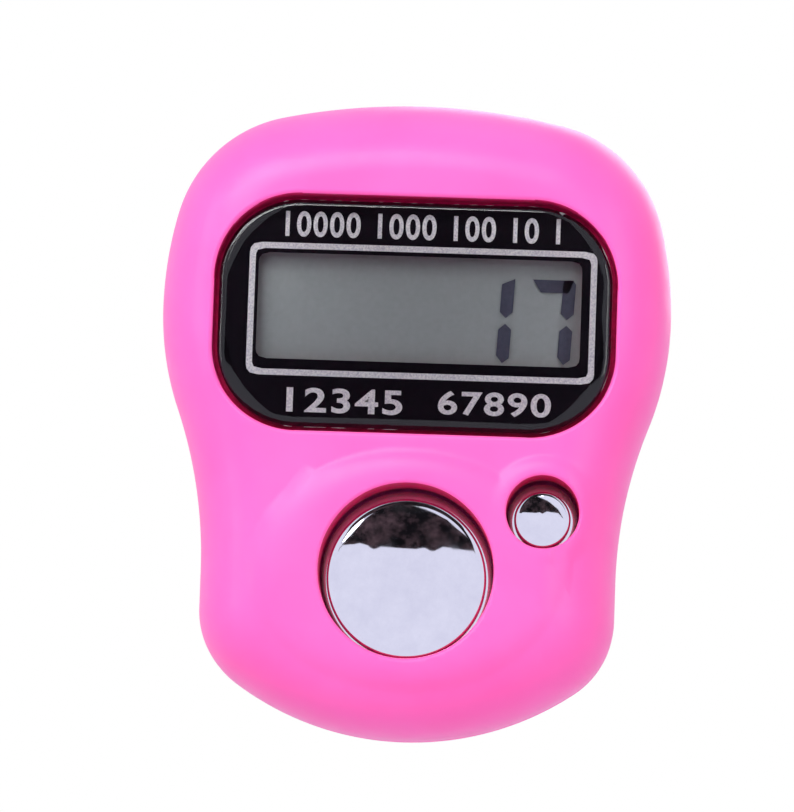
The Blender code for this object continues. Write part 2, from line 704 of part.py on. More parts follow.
def make_back_shell():
    band_y = BACK_RIM_Y + BACK_BAND
    made = shell("back_shell", BACK_RIM_Y, band_y, BACK_Y, BACK_EDGE_INSET, BACK_EDGE_POWER)
    bay_radius = CELL_RADIUS + FIT_GAP
    ring_radius = bay_radius + CELL_RING_WALL
    ring_top = BOARD_BACK_Y + 2 * FIT_GAP
    seat = door_outline(DOOR_GAP + DOOR_SEAT_WIDTH)
    boss = DOOR_BOSS_RADIUS
    additions = [
        make_locating_lip(),
        slab("door_seat", seat, DOOR_SEAT_Y - DOOR_SEAT_THICKNESS, DOOR_Y),
        cylinder("cell_ring", 0.0, CELL_Z, ring_radius, ring_top, DOOR_SEAT_Y),
        cylinder("door_boss", 0.0, DOOR_SCREW_Z, boss, DOOR_BOSS_Y, DOOR_SEAT_Y, BOSS_STEPS),
    ]
    holes = [
        slab("door_rebate", door_outline(DOOR_GAP), DOOR_SEAT_Y, BACK_Y + OVERRUN),
        cylinder("cell_bay", 0.0, CELL_Z, bay_radius, BOARD_BACK_Y, BACK_Y),
        block(
            "contact_slot",
            (CELL_RADIUS - FIT_GAP, BOARD_BACK_Y, CELL_Z - CONTACT_WIDTH / 2 - FIT_GAP),
            (ring_radius + OVERRUN, CELL_BACK_Y, CELL_Z + CONTACT_WIDTH / 2 + FIT_GAP),
        ),
        block(
            "tab_slot",
            (
                -DOOR_TAB_WIDTH / 2 - DOOR_GAP,
                DOOR_Y - LAYER_GAP - DOOR_TAB_THICKNESS - DOOR_GAP,
                DOOR_BOTTOM_Z - DOOR_TAB_LENGTH - DOOR_GAP,
            ),
            (DOOR_TAB_WIDTH / 2 + DOOR_GAP, DOOR_Y + DOOR_GAP, DOOR_BOTTOM_Z + DOOR_TAB_LENGTH),
        ),
        cylinder(
            "door_screw_hole",
            0.0,
            DOOR_SCREW_Z,
            BOARD_SCREW_SHAFT + THREAD_GAP,
            BACK_Y - DOOR_SCREW_SINK - DOOR_SCREW_LENGTH - FIT_GAP,
            DOOR_Y,
            HOLE_STEPS,
        ),
    ]
    column_end, seat_y, mouth = BACK_Y - WALL / 2, BACK_Y - CASE_SCREW_SINK, BACK_Y + OVERRUN
    head, shaft = CASE_SCREW_HEAD + FIT_GAP, CASE_SCREW_SHAFT + THREAD_GAP
    for place, (x, z) in SCREW_PLACES.items():
        column = cylinder(f"column_{place}", x, z, BOSS_RADIUS, BACK_RIM_Y, column_end, BOSS_STEPS)
        additions.append(column)
        holes.append(cylinder(f"head_well_{place}", x, z, head, seat_y, mouth, BOSS_STEPS))
        holes.append(cylinder(f"screw_hole_{place}", x, z, shaft, PARTING_Y, BACK_Y, HOLE_STEPS))
    for side, x in (("left", -PIVOT_X), ("right", PIVOT_X)):
        for level, z in (("upper", LUG_Z), ("lower", -LUG_Z)):
            additions += lug(f"lug_{side}_{level}", x, z)
        half = LUG_Z + LUG_THICKNESS
        radius = TRUNNION_RADIUS + FIT_GAP
        profile = [(0.0, half), (radius, half), (radius, -half), (0.0, -half)]
        holes.append(turned(f"lug_hole_{side}", profile, (x, PIVOT_Y, 0.0), UPRIGHT, steps=BOSS_STEPS))
    combine(made, "UNION", *additions)
    combine(made, "DIFFERENCE", *holes)


# Display


def make_window():
    """A lens that is thickest in the middle and follows the crown of the case."""
    edge_y = WINDOW_BACK_Y - WINDOW_EDGE_THICKNESS
    centred = [(x, z - WINDOW_Z) for x, z in window_outline(0.0)]
    sections = [section(centred, WINDOW_BACK_Y), section(centred, edge_y)]
    for turn in edge_turns(WINDOW_CROWN_RINGS)[:-1]:
        depth = edge_y - WINDOW_CROWN * math.sin(turn) ** 2
        sections.append(section(centred, depth, math.cos(turn)))
    made = lofted("display_window", sections, BLACK_LENS, smooth=True)
    made.location.z = WINDOW_Z


def make_window_tape():
    front = WINDOW_BACK_Y + LAYER_GAP
    made = slab("window_adhesive", window_outline(-TAPE_MARGIN), front, front + TAPE_THICKNESS, TAPE)
    opening = slab(
        "tape_opening",
        rounded_rectangle(
            VIEW_WIDTH + 4 * LEDGE_MARGIN, VIEW_HEIGHT + 4 * LEDGE_MARGIN, LEDGE_MARGIN, LCD_Z
        ),
        front - OVERRUN,
        front + OVERRUN,
    )
    combine(made, "DIFFERENCE", opening)


def make_display():
    """The stack behind the window: polariser, front glass, rear glass and reflector."""
    half = GLASS_WIDTH / 2
    top = LCD_Z + GLASS_ABOVE
    bottom = LCD_Z - GLASS_BELOW
    rear_bottom = bottom + CONTACT_LEDGE
    layers = (
        ("lcd_front_polariser", POLARISER_THICKNESS, rear_bottom, POLARISER_INSET, POLARISER),
        ("lcd_front_glass", GLASS_THICKNESS, bottom, 0.0, GLASS),
        ("lcd_rear_glass", GLASS_THICKNESS, rear_bottom, 0.0, GLASS),
        ("lcd_reflector", POLARISER_THICKNESS, rear_bottom, POLARISER_INSET, POLARISER),
    )
    y = LEDGE_BACK_Y + LAYER_GAP
    for name, thickness, low_z, margin, finish in layers:
        low = (margin - half, y, low_z + margin)
        high = (half - margin, y + thickness, top - margin)
        block(name, low, high, finish)
        y += thickness + LAYER_GAP


def make_lcd_frame():
    """The holder round the glass, between the window's ledge and the board."""
    inner = (GLASS_WIDTH / 2 + FIT_GAP, LCD_Z - GLASS_BELOW - FIT_GAP, LCD_Z + GLASS_ABOVE + FIT_GAP)
    outer = (inner[0] + LCD_FRAME_WALL, inner[1] - LCD_FRAME_WALL, inner[2] + LCD_FRAME_WALL)
    front, back = LEDGE_BACK_Y + LAYER_GAP, BOARD_Y - LAYER_GAP
    made = block("lcd_frame", (-outer[0], front, outer[1]), (outer[0], back, outer[2]), WHITE_PLASTIC)
    opening = block(
        "glass_opening", (-inner[0], front - OVERRUN, inner[1]), (inner[0], back + OVERRUN, inner[2])
    )
    rail_bottom = LCD_Z - GLASS_BELOW + CONTACT_LEDGE + FIT_GAP
    rail = block(
        "glass_rail",
        (-outer[0] + LAYER_GAP, REFLECTOR_BACK_Y + FIT_GAP, rail_bottom),
        (outer[0] - LAYER_GAP, back, rail_bottom + LCD_FRAME_WALL),
    )
    combine(made, "DIFFERENCE", opening)
    combine(made, "UNION", rail)


def make_zebra_strip():
    middle = LCD_Z - GLASS_BELOW + CONTACT_LEDGE / 2
    block(
        "zebra_strip",
        (-ZEBRA_LENGTH / 2, FRONT_GLASS_BACK_Y + LAYER_GAP, middle - ZEBRA_THICKNESS / 2),
        (ZEBRA_LENGTH / 2, BOARD_Y - LAYER_GAP, middle + ZEBRA_THICKNESS / 2),
        ZEBRA_RUBBER,
    )


# Circuit board and what is on it


def make_board():
    made = slab("circuit_board", inset(CASE_OUTLINE, BOARD_INSET), BOARD_Y, BOARD_BACK_Y, BOARD)
    holes = [
        block(
            "board_top_trim",
            (-HEAD_WIDTH, BOARD_Y - OVERRUN, BOARD_TOP_Z),
            (HEAD_WIDTH, BOARD_BACK_Y + OVERRUN, CASE_HEIGHT),
        )
    ]
    y_ends = (BOARD_Y - OVERRUN, BOARD_BACK_Y + OVERRUN)
    for place, (x, z) in SCREW_PLACES.items():
        reach = BOSS_RADIUS + FIT_GAP
        holes.append(cylinder(f"boss_notch_{place}", x, z, reach, *y_ends, BOSS_STEPS))
    for side, x in (("left", -BOARD_SCREW_X), ("right", BOARD_SCREW_X)):
        radius = BOARD_SCREW_SHAFT + THREAD_GAP
        holes.append(cylinder(f"board_hole_{side}", x, BOARD_SCREW_Z, radius, *y_ends, HOLE_STEPS))
    combine(made, "DIFFERENCE", *holes)


def make_components():
    """The epoxy blob over the die, and two small chips beside it, behind the board."""
    seat = BOARD_BACK_Y + LAYER_GAP
    dome = cap_profile(CHIP_RADIUS, CHIP_HEIGHT, CHIP_HEIGHT, 5)
    turned("driver_chip", dome + [(0.0, 0.0)], (0.0, seat, CHIP_Z), TO_BACK, EPOXY, BOSS_STEPS)
    half_length, half_width = SMALL_PART_LENGTH / 2, SMALL_PART_WIDTH / 2
    small_parts = (("capacitor", -1, CAPACITOR_HEIGHT, CERAMIC), ("resistor", 1, RESISTOR_HEIGHT, EPOXY))
    for name, side, height, finish in small_parts:
        x = side * SMALL_PART_X
        block(
            name,
            (x - half_width, seat, CHIP_Z - half_length),
            (x + half_width, seat + height, CHIP_Z + half_length),
            finish,
        )


def make_cell():
    """A button cell: the can is stepped in at the end that faces the board."""
    profile = [
        (0.0, CELL_THICKNESS),
        (CELL_RADIUS - CELL_EDGE, CELL_THICKNESS),
        (CELL_RADIUS, CELL_THICKNESS - CELL_EDGE),
        (CELL_RADIUS, CELL_STEP_HEIGHT),
        (CELL_RADIUS - CELL_STEP_WIDTH, CELL_STEP_HEIGHT - CELL_EDGE),
        (CELL_RADIUS - CELL_STEP_WIDTH, 0.0),
        (0.0, 0.0),
    ]
    turned("button_cell", profile, (0.0, CELL_Y, CELL_Z), TO_BACK, CELL, ROUND_STEPS)


def make_contacts():
    """Bent strips on the board: one bows up under the cell, the other stands at its side."""
    foot_y = BOARD_BACK_Y + LAYER_GAP + CONTACT_THICKNESS / 2
    touch_y = CELL_Y - LAYER_GAP - CONTACT_THICKNESS / 2
    under = ribbon(
        "battery_negative_contact",
        [
            (-2 * CONTACT_FOOT, foot_y),
            (-CONTACT_FOOT, foot_y),
            (-CONTACT_FOOT / 2, touch_y),
            (CONTACT_FOOT / 2, touch_y),
            (CONTACT_FOOT, (foot_y + touch_y) / 2),
        ],
        CONTACT_THICKNESS,
        CONTACT_WIDTH,
        CONTACT,
    )
    under.location.z = CELL_Z
    side_x = CELL_RADIUS + LAYER_GAP + CONTACT_THICKNESS / 2
    beside = ribbon(
        "battery_positive_contact",
        [
            (side_x + CONTACT_FOOT, foot_y),
            (side_x + CONTACT_BEND, foot_y),
            (side_x + CONTACT_BEND, CELL_Y + FIT_GAP),
            (side_x, (CELL_Y + CELL_BACK_Y) / 2),
            (side_x + CONTACT_BEND / 2, CELL_BACK_Y - FIT_GAP),
        ],
        CONTACT_THICKNESS,
        CONTACT_WIDTH,
        CONTACT,
    )
    beside.location.z = CELL_Z


# Buttons


def make_button(name, x, z, radius, top_depth, dome_height, flange_radius):
    """A domed cap with a flange behind the bore's sleeve. Its origin is on its own axis."""
    top = FLANGE_BACK_Y - (FRONT_Y + top_depth)
    profile = cap_profile(radius, dome_height, top, BUTTON_RINGS)
    profile += [
        (radius, FLANGE_THICKNESS),
        (flange_radius, FLANGE_THICKNESS),
        (flange_radius, 0.0),
        (0.0, 0.0),
    ]
    turned(name, profile, (x, FLANGE_BACK_Y, z - BUTTON_SAG), TO_FRONT, CHROME)


def make_rubber_dome(name, x, z, top_radius, cone_radius, foot_radius):
    """A plateau on a thin cone that stands on a ring on the board, hollow underneath."""
    height = BOARD_Y - LAYER_GAP - PLATEAU_Y
    profile = [
        (0.0, height),
        (top_radius, height),
        (cone_radius + WEB_THICKNESS, DOME_FOOT_HEIGHT),
        (foot_radius, DOME_FOOT_HEIGHT),
        (foot_radius, 0.0),
        (cone_radius, 0.0),
        (cone_radius, DOME_FOOT_HEIGHT - WEB_THICKNESS),
        (top_radius - WEB_THICKNESS / 2, height - PLATEAU_THICKNESS),
        (0.0, height - PLATEAU_THICKNESS),
    ]
    turned(name, profile, (x, BOARD_Y - LAYER_GAP, z), TO_FRONT, SILICONE, BOSS_STEPS)


def make_carbon_pill(name, x, z, radius):
    profile = [(0.0, PILL_THICKNESS), (radius, PILL_THICKNESS), (radius, 0.0), (0.0, 0.0)]
    turned(name, profile, (x, PILL_Y + PILL_THICKNESS, z), TO_FRONT, CARBON, BOSS_STEPS)


def make_buttons():
    count_flange = COUNT_BORE_RADIUS + FLANGE_STEP
    reset_flange = RESET_BORE_RADIUS + FLANGE_STEP
    make_button(
        "count_button", 0.0, COUNT_Z, COUNT_RADIUS, COUNT_TOP_DEPTH, COUNT_DOME_HEIGHT, count_flange
    )
    make_button(
        "reset_button", RESET_X, RESET_Z, RESET_RADIUS, RESET_TOP_DEPTH, RESET_DOME_HEIGHT, reset_flange
    )
    count_radii = (COUNT_PLATEAU_RADIUS, COUNT_CONE_RADIUS, COUNT_FOOT_RADIUS)
    reset_radii = (RESET_PLATEAU_RADIUS, RESET_CONE_RADIUS, RESET_FOOT_RADIUS)
    make_rubber_dome("count_rubber_dome", 0.0, COUNT_Z, *count_radii)
    make_rubber_dome("reset_rubber_dome", RESET_X, RESET_Z, *reset_radii)
    make_carbon_pill("count_carbon_pill", 0.0, COUNT_Z, COUNT_PILL_RADIUS)
    make_carbon_pill("reset_carbon_pill", RESET_X, RESET_Z, RESET_PILL_RADIUS)


# Screws and the battery door


def make_screw(name, x, z, seat_y, head_radius, head_height, shaft_radius, length):
    """A self-tapping pan head screw with a cross recess, its head towards the back."""
    profile = [
        (0.0, head_height),
        (head_radius * HEAD_CROWN, head_height),
        (head_radius, head_height * HEAD_RIM),
        (head_radius, 0.0),
        (shaft_radius, 0.0),
        (shaft_radius, -length + 2 * shaft_radius),
        (0.0, -length),
    ]
    made = turned(name, profile, (x, seat_y, z), TO_BACK, SCREW_STEEL, HOLE_STEPS)
    arm, half = head_radius * CROSS_REACH, head_radius * CROSS_HALF_WIDTH
    floor = seat_y + head_height * CROSS_FLOOR
    top = seat_y + head_height + OVERRUN
    slots = [
        block(f"{name}_{way}", (x - across, floor, z - up), (x + across, top, z + up))
        for way, across, up in (("flat", arm, half), ("upright", half, arm))
    ]
    combine(made, "DIFFERENCE", *slots)


def make_screws():
    for place, (x, z) in SCREW_PLACES.items():
        make_screw(
            f"case_screw_{place}",
            x,
            z,
            BACK_Y - CASE_SCREW_SINK + LAYER_GAP,
            CASE_SCREW_HEAD,
            CASE_SCREW_HEAD_HEIGHT,
            CASE_SCREW_SHAFT,
            CASE_SCREW_LENGTH,
        )
    for side, x in (("left", -BOARD_SCREW_X), ("right", BOARD_SCREW_X)):
        make_screw(
            f"board_screw_{side}",
            x,
            BOARD_SCREW_Z,
            BOARD_BACK_Y + LAYER_GAP,
            BOARD_SCREW_HEAD,
            BOARD_SCREW_HEAD_HEIGHT,
            BOARD_SCREW_SHAFT,
            BOARD_SCREW_LENGTH,
        )
    make_screw(
        "battery_door_screw",
        0.0,
        DOOR_SCREW_Z,
        BACK_Y - DOOR_SCREW_SINK + LAYER_GAP,
        BOARD_SCREW_HEAD,
        DOOR_SCREW_SINK - 2 * LAYER_GAP,
        BOARD_SCREW_SHAFT,
        DOOR_SCREW_LENGTH,
    )


def make_battery_door():
    made = slab("battery_door", door_outline(0.0), DOOR_Y, BACK_Y, PINK_PLASTIC)
    tab = block(
        "door_tab",
        (-DOOR_TAB_WIDTH / 2, DOOR_Y - DOOR_TAB_THICKNESS, DOOR_BOTTOM_Z - DOOR_TAB_LENGTH),
        (DOOR_TAB_WIDTH / 2, DOOR_Y + LAYER_GAP, DOOR_BOTTOM_Z + DOOR_TAB_LENGTH),
    )
    combine(made, "UNION", tab)
    seat = BACK_Y - DOOR_SCREW_SINK
    head, shaft = BOARD_SCREW_HEAD + DOOR_GAP, BOARD_SCREW_SHAFT + THREAD_GAP
    mouth, inner = BACK_Y + OVERRUN, DOOR_Y - OVERRUN
    well = cylinder("door_head_well", 0.0, DOOR_SCREW_Z, head, seat, mouth, BOSS_STEPS)
    hole = cylinder("door_hole", 0.0, DOOR_SCREW_Z, shaft, inner, BACK_Y, HOLE_STEPS)
    combine(made, "DIFFERENCE", well, hole)


# Finger band


def band_line(side, radius, end_angle):
    """From the pivot straight back, then round the finger; side is -1 on the left."""
    start_angle = math.pi if side < 0 else 0.0
    sweep = end_angle - start_angle
    pieces = round(abs(sweep) / BAND_STEP)
    turns = [start_angle + sweep * n / pieces for n in range(pieces + 1)]
    return [(side * PIVOT_X, PIVOT_Y)] + [(radius * math.cos(a), radius * math.sin(a)) for a in turns]


def make_band_half(name, side, radius, end_angle, *extras):
    """The barrel with its end pins, joined to the ribbon. Its origin is on the pivot."""
    half = STRAP_WIDTH / 2
    pin_end = half + FIT_GAP + TRUNNION_LENGTH
    profile = [
        (0.0, pin_end),
        (TRUNNION_RADIUS, pin_end),
        (TRUNNION_RADIUS, half),
        (BARREL_RADIUS, half),
        (BARREL_RADIUS, -half),
        (TRUNNION_RADIUS, -half),
        (TRUNNION_RADIUS, -pin_end),
        (0.0, -pin_end),
    ]
    pivot = (side * PIVOT_X, PIVOT_Y, 0.0)
    made = turned(name, profile, pivot, UPRIGHT, BLACK_STRAP, BOSS_STEPS)
    width = STRAP_WIDTH - 2 * STRAP_EDGE
    line = band_line(side, radius, end_angle)
    band = ribbon(f"{name}_ribbon", line, STRAP_THICKNESS, width, end_radius=BAND_END_RADIUS)
    combine(made, "UNION", band, *extras)
    return made


def make_band():
    neck_top = HOLE_BAND_RADIUS + STRAP_THICKNESS / 2 + FIT_GAP
    profile = [
        (0.0, neck_top + STUD_HEAD_HEIGHT),
        (STUD_CROWN_RADIUS, neck_top + STUD_HEAD_HEIGHT),
        (STUD_HEAD_RADIUS, neck_top + STUD_RIM_HEIGHT),
        (STUD_HEAD_RADIUS, neck_top),
        (STUD_RADIUS, neck_top),
        (STUD_RADIUS, STUD_BAND_RADIUS),
        (0.0, STUD_BAND_RADIUS),
    ]
    stud = turned("band_stud", profile, (0.0, 0.0, 0.0), TO_BACK, steps=BOSS_STEPS)
    make_band_half("strap_stud_half", -1, STUD_BAND_RADIUS, STUD_HALF_END, stud)
    hole_half = make_band_half("strap_hole_half", 1, HOLE_BAND_RADIUS, HOLE_HALF_END)
    holes = []
    for number in range(HOLE_COUNT):
        angle = math.pi / 2 + (number - HOLES_BEFORE_STUD) * HOLE_SPACING
        half = (STRAP_THICKNESS + OVERRUN) / 2
        radius = STUD_RADIUS + FIT_GAP
        profile = [(0.0, half), (radius, half), (radius, -half), (0.0, -half)]
        place = (HOLE_BAND_RADIUS * math.cos(angle), HOLE_BAND_RADIUS * math.sin(angle), 0.0)
        turn = (math.radians(90), 0.0, angle + math.radians(90))
        holes.append(turned(f"band_hole_{number + 1}", profile, place, turn, steps=HOLE_STEPS))
    combine(hole_half, "DIFFERENCE", *holes)


make_front_shell()
make_back_shell()
make_window()
make_window_tape()
make_display()
make_lcd_frame()
make_zebra_strip()
make_board()
make_components()
make_cell()
make_contacts()
make_buttons()
make_screws()
make_battery_door()
make_band()
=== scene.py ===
"""The looks of a small pink counter worn on a finger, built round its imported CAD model.

Sizes are in metres, in the CAD model's own frame: +Z up, the display towards -Y, the finger's axis
along Z. The sizes of pieces that replace a CAD node repeat the CAD source's own numbers.
"""

import json
import math

import bmesh
import bpy
from mathutils import Matrix, Vector

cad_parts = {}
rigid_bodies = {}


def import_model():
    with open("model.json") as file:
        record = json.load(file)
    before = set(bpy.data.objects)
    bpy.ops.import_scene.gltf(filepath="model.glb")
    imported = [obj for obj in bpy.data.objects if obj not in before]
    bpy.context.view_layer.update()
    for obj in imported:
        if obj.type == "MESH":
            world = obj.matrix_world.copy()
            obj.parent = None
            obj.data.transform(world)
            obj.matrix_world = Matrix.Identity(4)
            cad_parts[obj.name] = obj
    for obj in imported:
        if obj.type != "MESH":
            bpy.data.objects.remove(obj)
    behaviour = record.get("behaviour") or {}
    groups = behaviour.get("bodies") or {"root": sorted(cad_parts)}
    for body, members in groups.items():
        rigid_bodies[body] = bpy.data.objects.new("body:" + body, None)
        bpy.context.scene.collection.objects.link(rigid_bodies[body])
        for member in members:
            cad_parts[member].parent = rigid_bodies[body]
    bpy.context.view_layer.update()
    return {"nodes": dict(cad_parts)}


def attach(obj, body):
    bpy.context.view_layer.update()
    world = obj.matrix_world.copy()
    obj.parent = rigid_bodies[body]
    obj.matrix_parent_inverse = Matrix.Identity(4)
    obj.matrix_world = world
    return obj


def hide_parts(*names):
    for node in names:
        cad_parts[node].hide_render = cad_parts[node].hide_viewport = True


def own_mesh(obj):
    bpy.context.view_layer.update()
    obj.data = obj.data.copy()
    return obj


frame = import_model()

MM = 0.001

# Case outline, seen from the front
CASE_HEIGHT = 40.0 * MM
HEAD_WIDTH = 32.0 * MM
WAIST_DEPTH = 3.0 * MM
HEAD_Z = 6.8 * MM
WAIST_Z = -9.8 * MM
TOP_RADIUS = 40.0 * MM
SHOULDER_RADIUS = 8.6 * MM
HEAD_SIDE_RADIUS = 24.0 * MM
FLANK_RADIUS = 29.0 * MM
CHIN_CORNER_RADIUS = 5.5 * MM
CHIN_RADIUS = 18.5 * MM

# Case depth
BACK_Y = -9.4 * MM
FRONT_Y = -21.4 * MM
PARTING_Y = -13.8 * MM
BACK_RIM_Y = -13.5 * MM
WALL = 1.5 * MM
SIDE_BAND = 1.0 * MM
FRONT_EDGE_INSET = 5.0 * MM
FRONT_EDGE_POWER = 2.2
BACK_BAND = 0.5 * MM
BACK_EDGE_INSET = 4.4 * MM
BACK_EDGE_POWER = 2.6
FACE_CROWN = 0.25 * MM
SEAM_ROUND = 0.15 * MM
FIT_GAP = 0.3 * MM

# Display window
WINDOW_HALF_WIDTH = 12.2 * MM
WINDOW_HALF_HEIGHT = 7.1 * MM
WINDOW_RADIUS = 5.0 * MM
WINDOW_Z = 6.0 * MM
WINDOW_BACK_Y = -19.55 * MM
WINDOW_EDGE_THICKNESS = 1.1 * MM
WINDOW_CROWN = 0.55 * MM
LENS_ROUND = 0.45 * MM
POCKET_FLOOR_Y = -19.3 * MM
POCKET_ROUND = 0.25 * MM
LEDGE_BACK_Y = -18.5 * MM
MOULDING_WIDTH = 1.2 * MM
OPENING_HALF_WIDTH = 10.45 * MM
OPENING_HALF_HEIGHT = 3.7 * MM
LCD_Z = 6.5 * MM
PRINT_X = 0.4 * MM
PRINT_Z = 6.3 * MM

# Buttons
COUNT_Z = -9.9 * MM
COUNT_RADIUS = 4.95 * MM
COUNT_BORE_RADIUS = 5.4 * MM
COUNT_TOP_Y = -19.85 * MM
COUNT_DOME_HEIGHT = 0.4 * MM
COUNT_MOUTH_ROUND = 0.25 * MM
COUNT_COLLAR_HALF_WIDTH = 9.8 * MM
COUNT_COLLAR_HALF_HEIGHT = 7.45 * MM
COUNT_COLLAR_RISE = 0.45 * MM
RESET_X = 8.3 * MM
RESET_Z = -6.0 * MM
RESET_RADIUS = 1.75 * MM
RESET_BORE_RADIUS = 2.25 * MM
RESET_TOP_Y = -19.8 * MM
RESET_DOME_HEIGHT = 0.15 * MM
RESET_MOUTH_ROUND = 0.22 * MM
RESET_COLLAR_RADIUS = 3.5 * MM
RESET_COLLAR_RISE = 0.3 * MM
BUTTON_SAG = 0.3 * MM
SLEEVE_END_Y = -18.4 * MM
FLANGE_Y = -18.1 * MM
FLANGE_BACK_Y = -17.4 * MM
FLANGE_STEP = 0.5 * MM

# Screws and the battery door
CASE_SCREWS = {
    "case_screw_top_left": (-11.0 * MM, 14.2 * MM),
    "case_screw_top_right": (11.0 * MM, 14.2 * MM),
    "case_screw_bottom_left": (-8.6 * MM, -14.8 * MM),
    "case_screw_bottom_right": (8.6 * MM, -14.8 * MM),
}
BOSS_RADIUS = 1.9 * MM
CASE_SCREW_SHAFT = 0.7 * MM
CASE_SCREW_HEAD = 1.35 * MM
CASE_SCREW_HEAD_HEIGHT = 0.8 * MM
CASE_SCREW_SEAT_Y = -10.85 * MM
CASE_SCREW_LENGTH = 6.0 * MM
THREAD_GAP = 0.1 * MM
BOARD_POSTS = ((-10.2 * MM, -1.3 * MM), (10.2 * MM, -1.3 * MM))
POST_RADIUS = 1.4 * MM
POST_END_Y = -15.5 * MM
POST_HOLE = 0.65 * MM
DOOR_HALF_WIDTH = 7.3 * MM
DOOR_HALF_HEIGHT = 8.85 * MM
DOOR_Z = 4.05 * MM
DOOR_RADIUS = 2.0 * MM
DOOR_Y = -10.5 * MM
DOOR_GAP = 0.2 * MM
DOOR_SEAT_WIDTH = 1.0 * MM
DOOR_SEAT_THICKNESS = 0.8 * MM
DOOR_SCREW_Z = 10.9 * MM
DOOR_SCREW_SEAT_Y = -10.05 * MM
DOOR_SCREW_HEAD = 1.1 * MM
DOOR_SCREW_HEAD_HEIGHT = 0.6 * MM
DOOR_SCREW_SHAFT = 0.55 * MM
DOOR_SCREW_LENGTH = 2.4 * MM
SEAT_PLAY = 0.05 * MM  # between a screw's head or the door and what it rests on
DOOR_SOFT_EDGE = 0.12 * MM
DOOR_TAB_HALF_WIDTH = 3.0 * MM
DOOR_TAB_REACH = 1.2 * MM
DOOR_TAB_THICKNESS = 0.5 * MM
WELL_OVERSHOOT = 1.0 * MM  # how far a well's cutter stands out of the back
SCREW_PITCH = 0.5 * MM

# Finger band
STRAP_WIDTH = 9.0 * MM
STRAP_THICKNESS = 1.1 * MM
STRAP_EDGE = 0.2 * MM
BARREL_RADIUS = 1.2 * MM
TRUNNION_RADIUS = 0.6 * MM
TRUNNION_LENGTH = 0.9 * MM
PIVOT_X = 10.8 * MM
PIVOT_Y = -7.8 * MM
LUG_Z = 5.6 * MM
LUG_THICKNESS = 1.6 * MM
LUG_RADIUS = 1.7 * MM
STUD_BAND_RADIUS = 9.95 * MM
HOLE_BAND_RADIUS = 11.35 * MM
STUD_HALF_END = math.radians(52)
HOLE_HALF_END = math.radians(146)
BAND_END_RADIUS = 3.4 * MM
HOLE_SPACING = math.radians(18)
HOLE_COUNT = 4
HOLES_BEFORE_STUD = 1
BAND_HOLE_RADIUS = 1.05 * MM
STUD_RADIUS = 0.75 * MM
STUD_HEAD_RADIUS = 1.35 * MM
STUD_HEAD_HEIGHT = 0.9 * MM


# Places on the case


def bearing(start, end):
    """The angle of the line from one point to another."""
    return math.atan2(end[1] - start[1], end[0] - start[0])


def case_arcs():
    """The right half of the outline from the top down, as arcs: centre, radius, both angles, steps
    and which way it bulges."""
    crown = (0.0, CASE_HEIGHT / 2 - TOP_RADIUS)
    head = (HEAD_WIDTH / 2 - HEAD_SIDE_RADIUS, HEAD_Z)
    far, near = TOP_RADIUS - SHOULDER_RADIUS, HEAD_SIDE_RADIUS - SHOULDER_RADIUS
    span = math.dist(crown, head)
    along = (far**2 - near**2 + span**2) / (2 * span)
    aside = math.sqrt(far**2 - along**2)
    turn = bearing(crown, head)
    shoulder = (
        crown[0] + along * math.cos(turn) + aside * math.sin(turn),
        crown[1] + along * math.sin(turn) - aside * math.cos(turn),
    )
    waist = HEAD_WIDTH / 2 - WAIST_DEPTH
    flank = (waist + FLANK_RADIUS, WAIST_Z)
    reach, drop = flank[0] - HEAD_WIDTH / 2, HEAD_Z - WAIST_Z
    cheek_radius = (reach**2 + drop**2 - FLANK_RADIUS**2) / (2 * (FLANK_RADIUS - reach))
    cheek = (HEAD_WIDTH / 2 - cheek_radius, HEAD_Z)
    chin = (0.0, CHIN_RADIUS - CASE_HEIGHT / 2)
    corner_x = waist - CHIN_CORNER_RADIUS
    corner = (corner_x, chin[1] - math.sqrt((CHIN_RADIUS - CHIN_CORNER_RADIUS) ** 2 - corner_x**2))
    top_turn, shoulder_turn = bearing(crown, shoulder), bearing(head, shoulder)
    cheek_turn, corner_turn = bearing(cheek, flank), bearing(chin, corner)
    return (
        (crown, TOP_RADIUS, math.pi / 2, top_turn, 18, 1),
        (shoulder, SHOULDER_RADIUS, top_turn, shoulder_turn, 32, 1),
        (head, HEAD_SIDE_RADIUS, shoulder_turn, 0.0, 12, 1),
        (cheek, cheek_radius, 0.0, cheek_turn, 32, 1),
        (flank, FLANK_RADIUS, cheek_turn + math.pi, math.pi, 36, -1),
        (corner, CHIN_CORNER_RADIUS, 0.0, corner_turn, 46, 1),
        (chin, CHIN_RADIUS, corner_turn, -math.pi / 2, 60, 1),
    )


CASE_ARCS = case_arcs()


def outline(distance, y):
    """A closed ring of points round the case, this far inside its outline."""
    drawn = bmesh.new()
    right = []
    for centre, radius, start, end, steps, bulge in CASE_ARCS:
        reach = radius - bulge * distance
        first = (centre[0] + reach * math.cos(start), y, centre[1] + reach * math.sin(start))
        bmesh.ops.spin(
            drawn,
            geom=[drawn.verts.new(first)],
            cent=(centre[0], y, centre[1]),
            axis=(0.0, 1.0, 0.0),
            angle=start - end,
            steps=steps,
        )
        points = [vert.co.copy() for vert in drawn.verts]
        right += points[: steps + 1] if not right else points[1 : steps + 1]
        drawn.clear()
    drawn.free()
    return right + [Vector((-point.x, y, point.z)) for point in reversed(right[1:-1])]


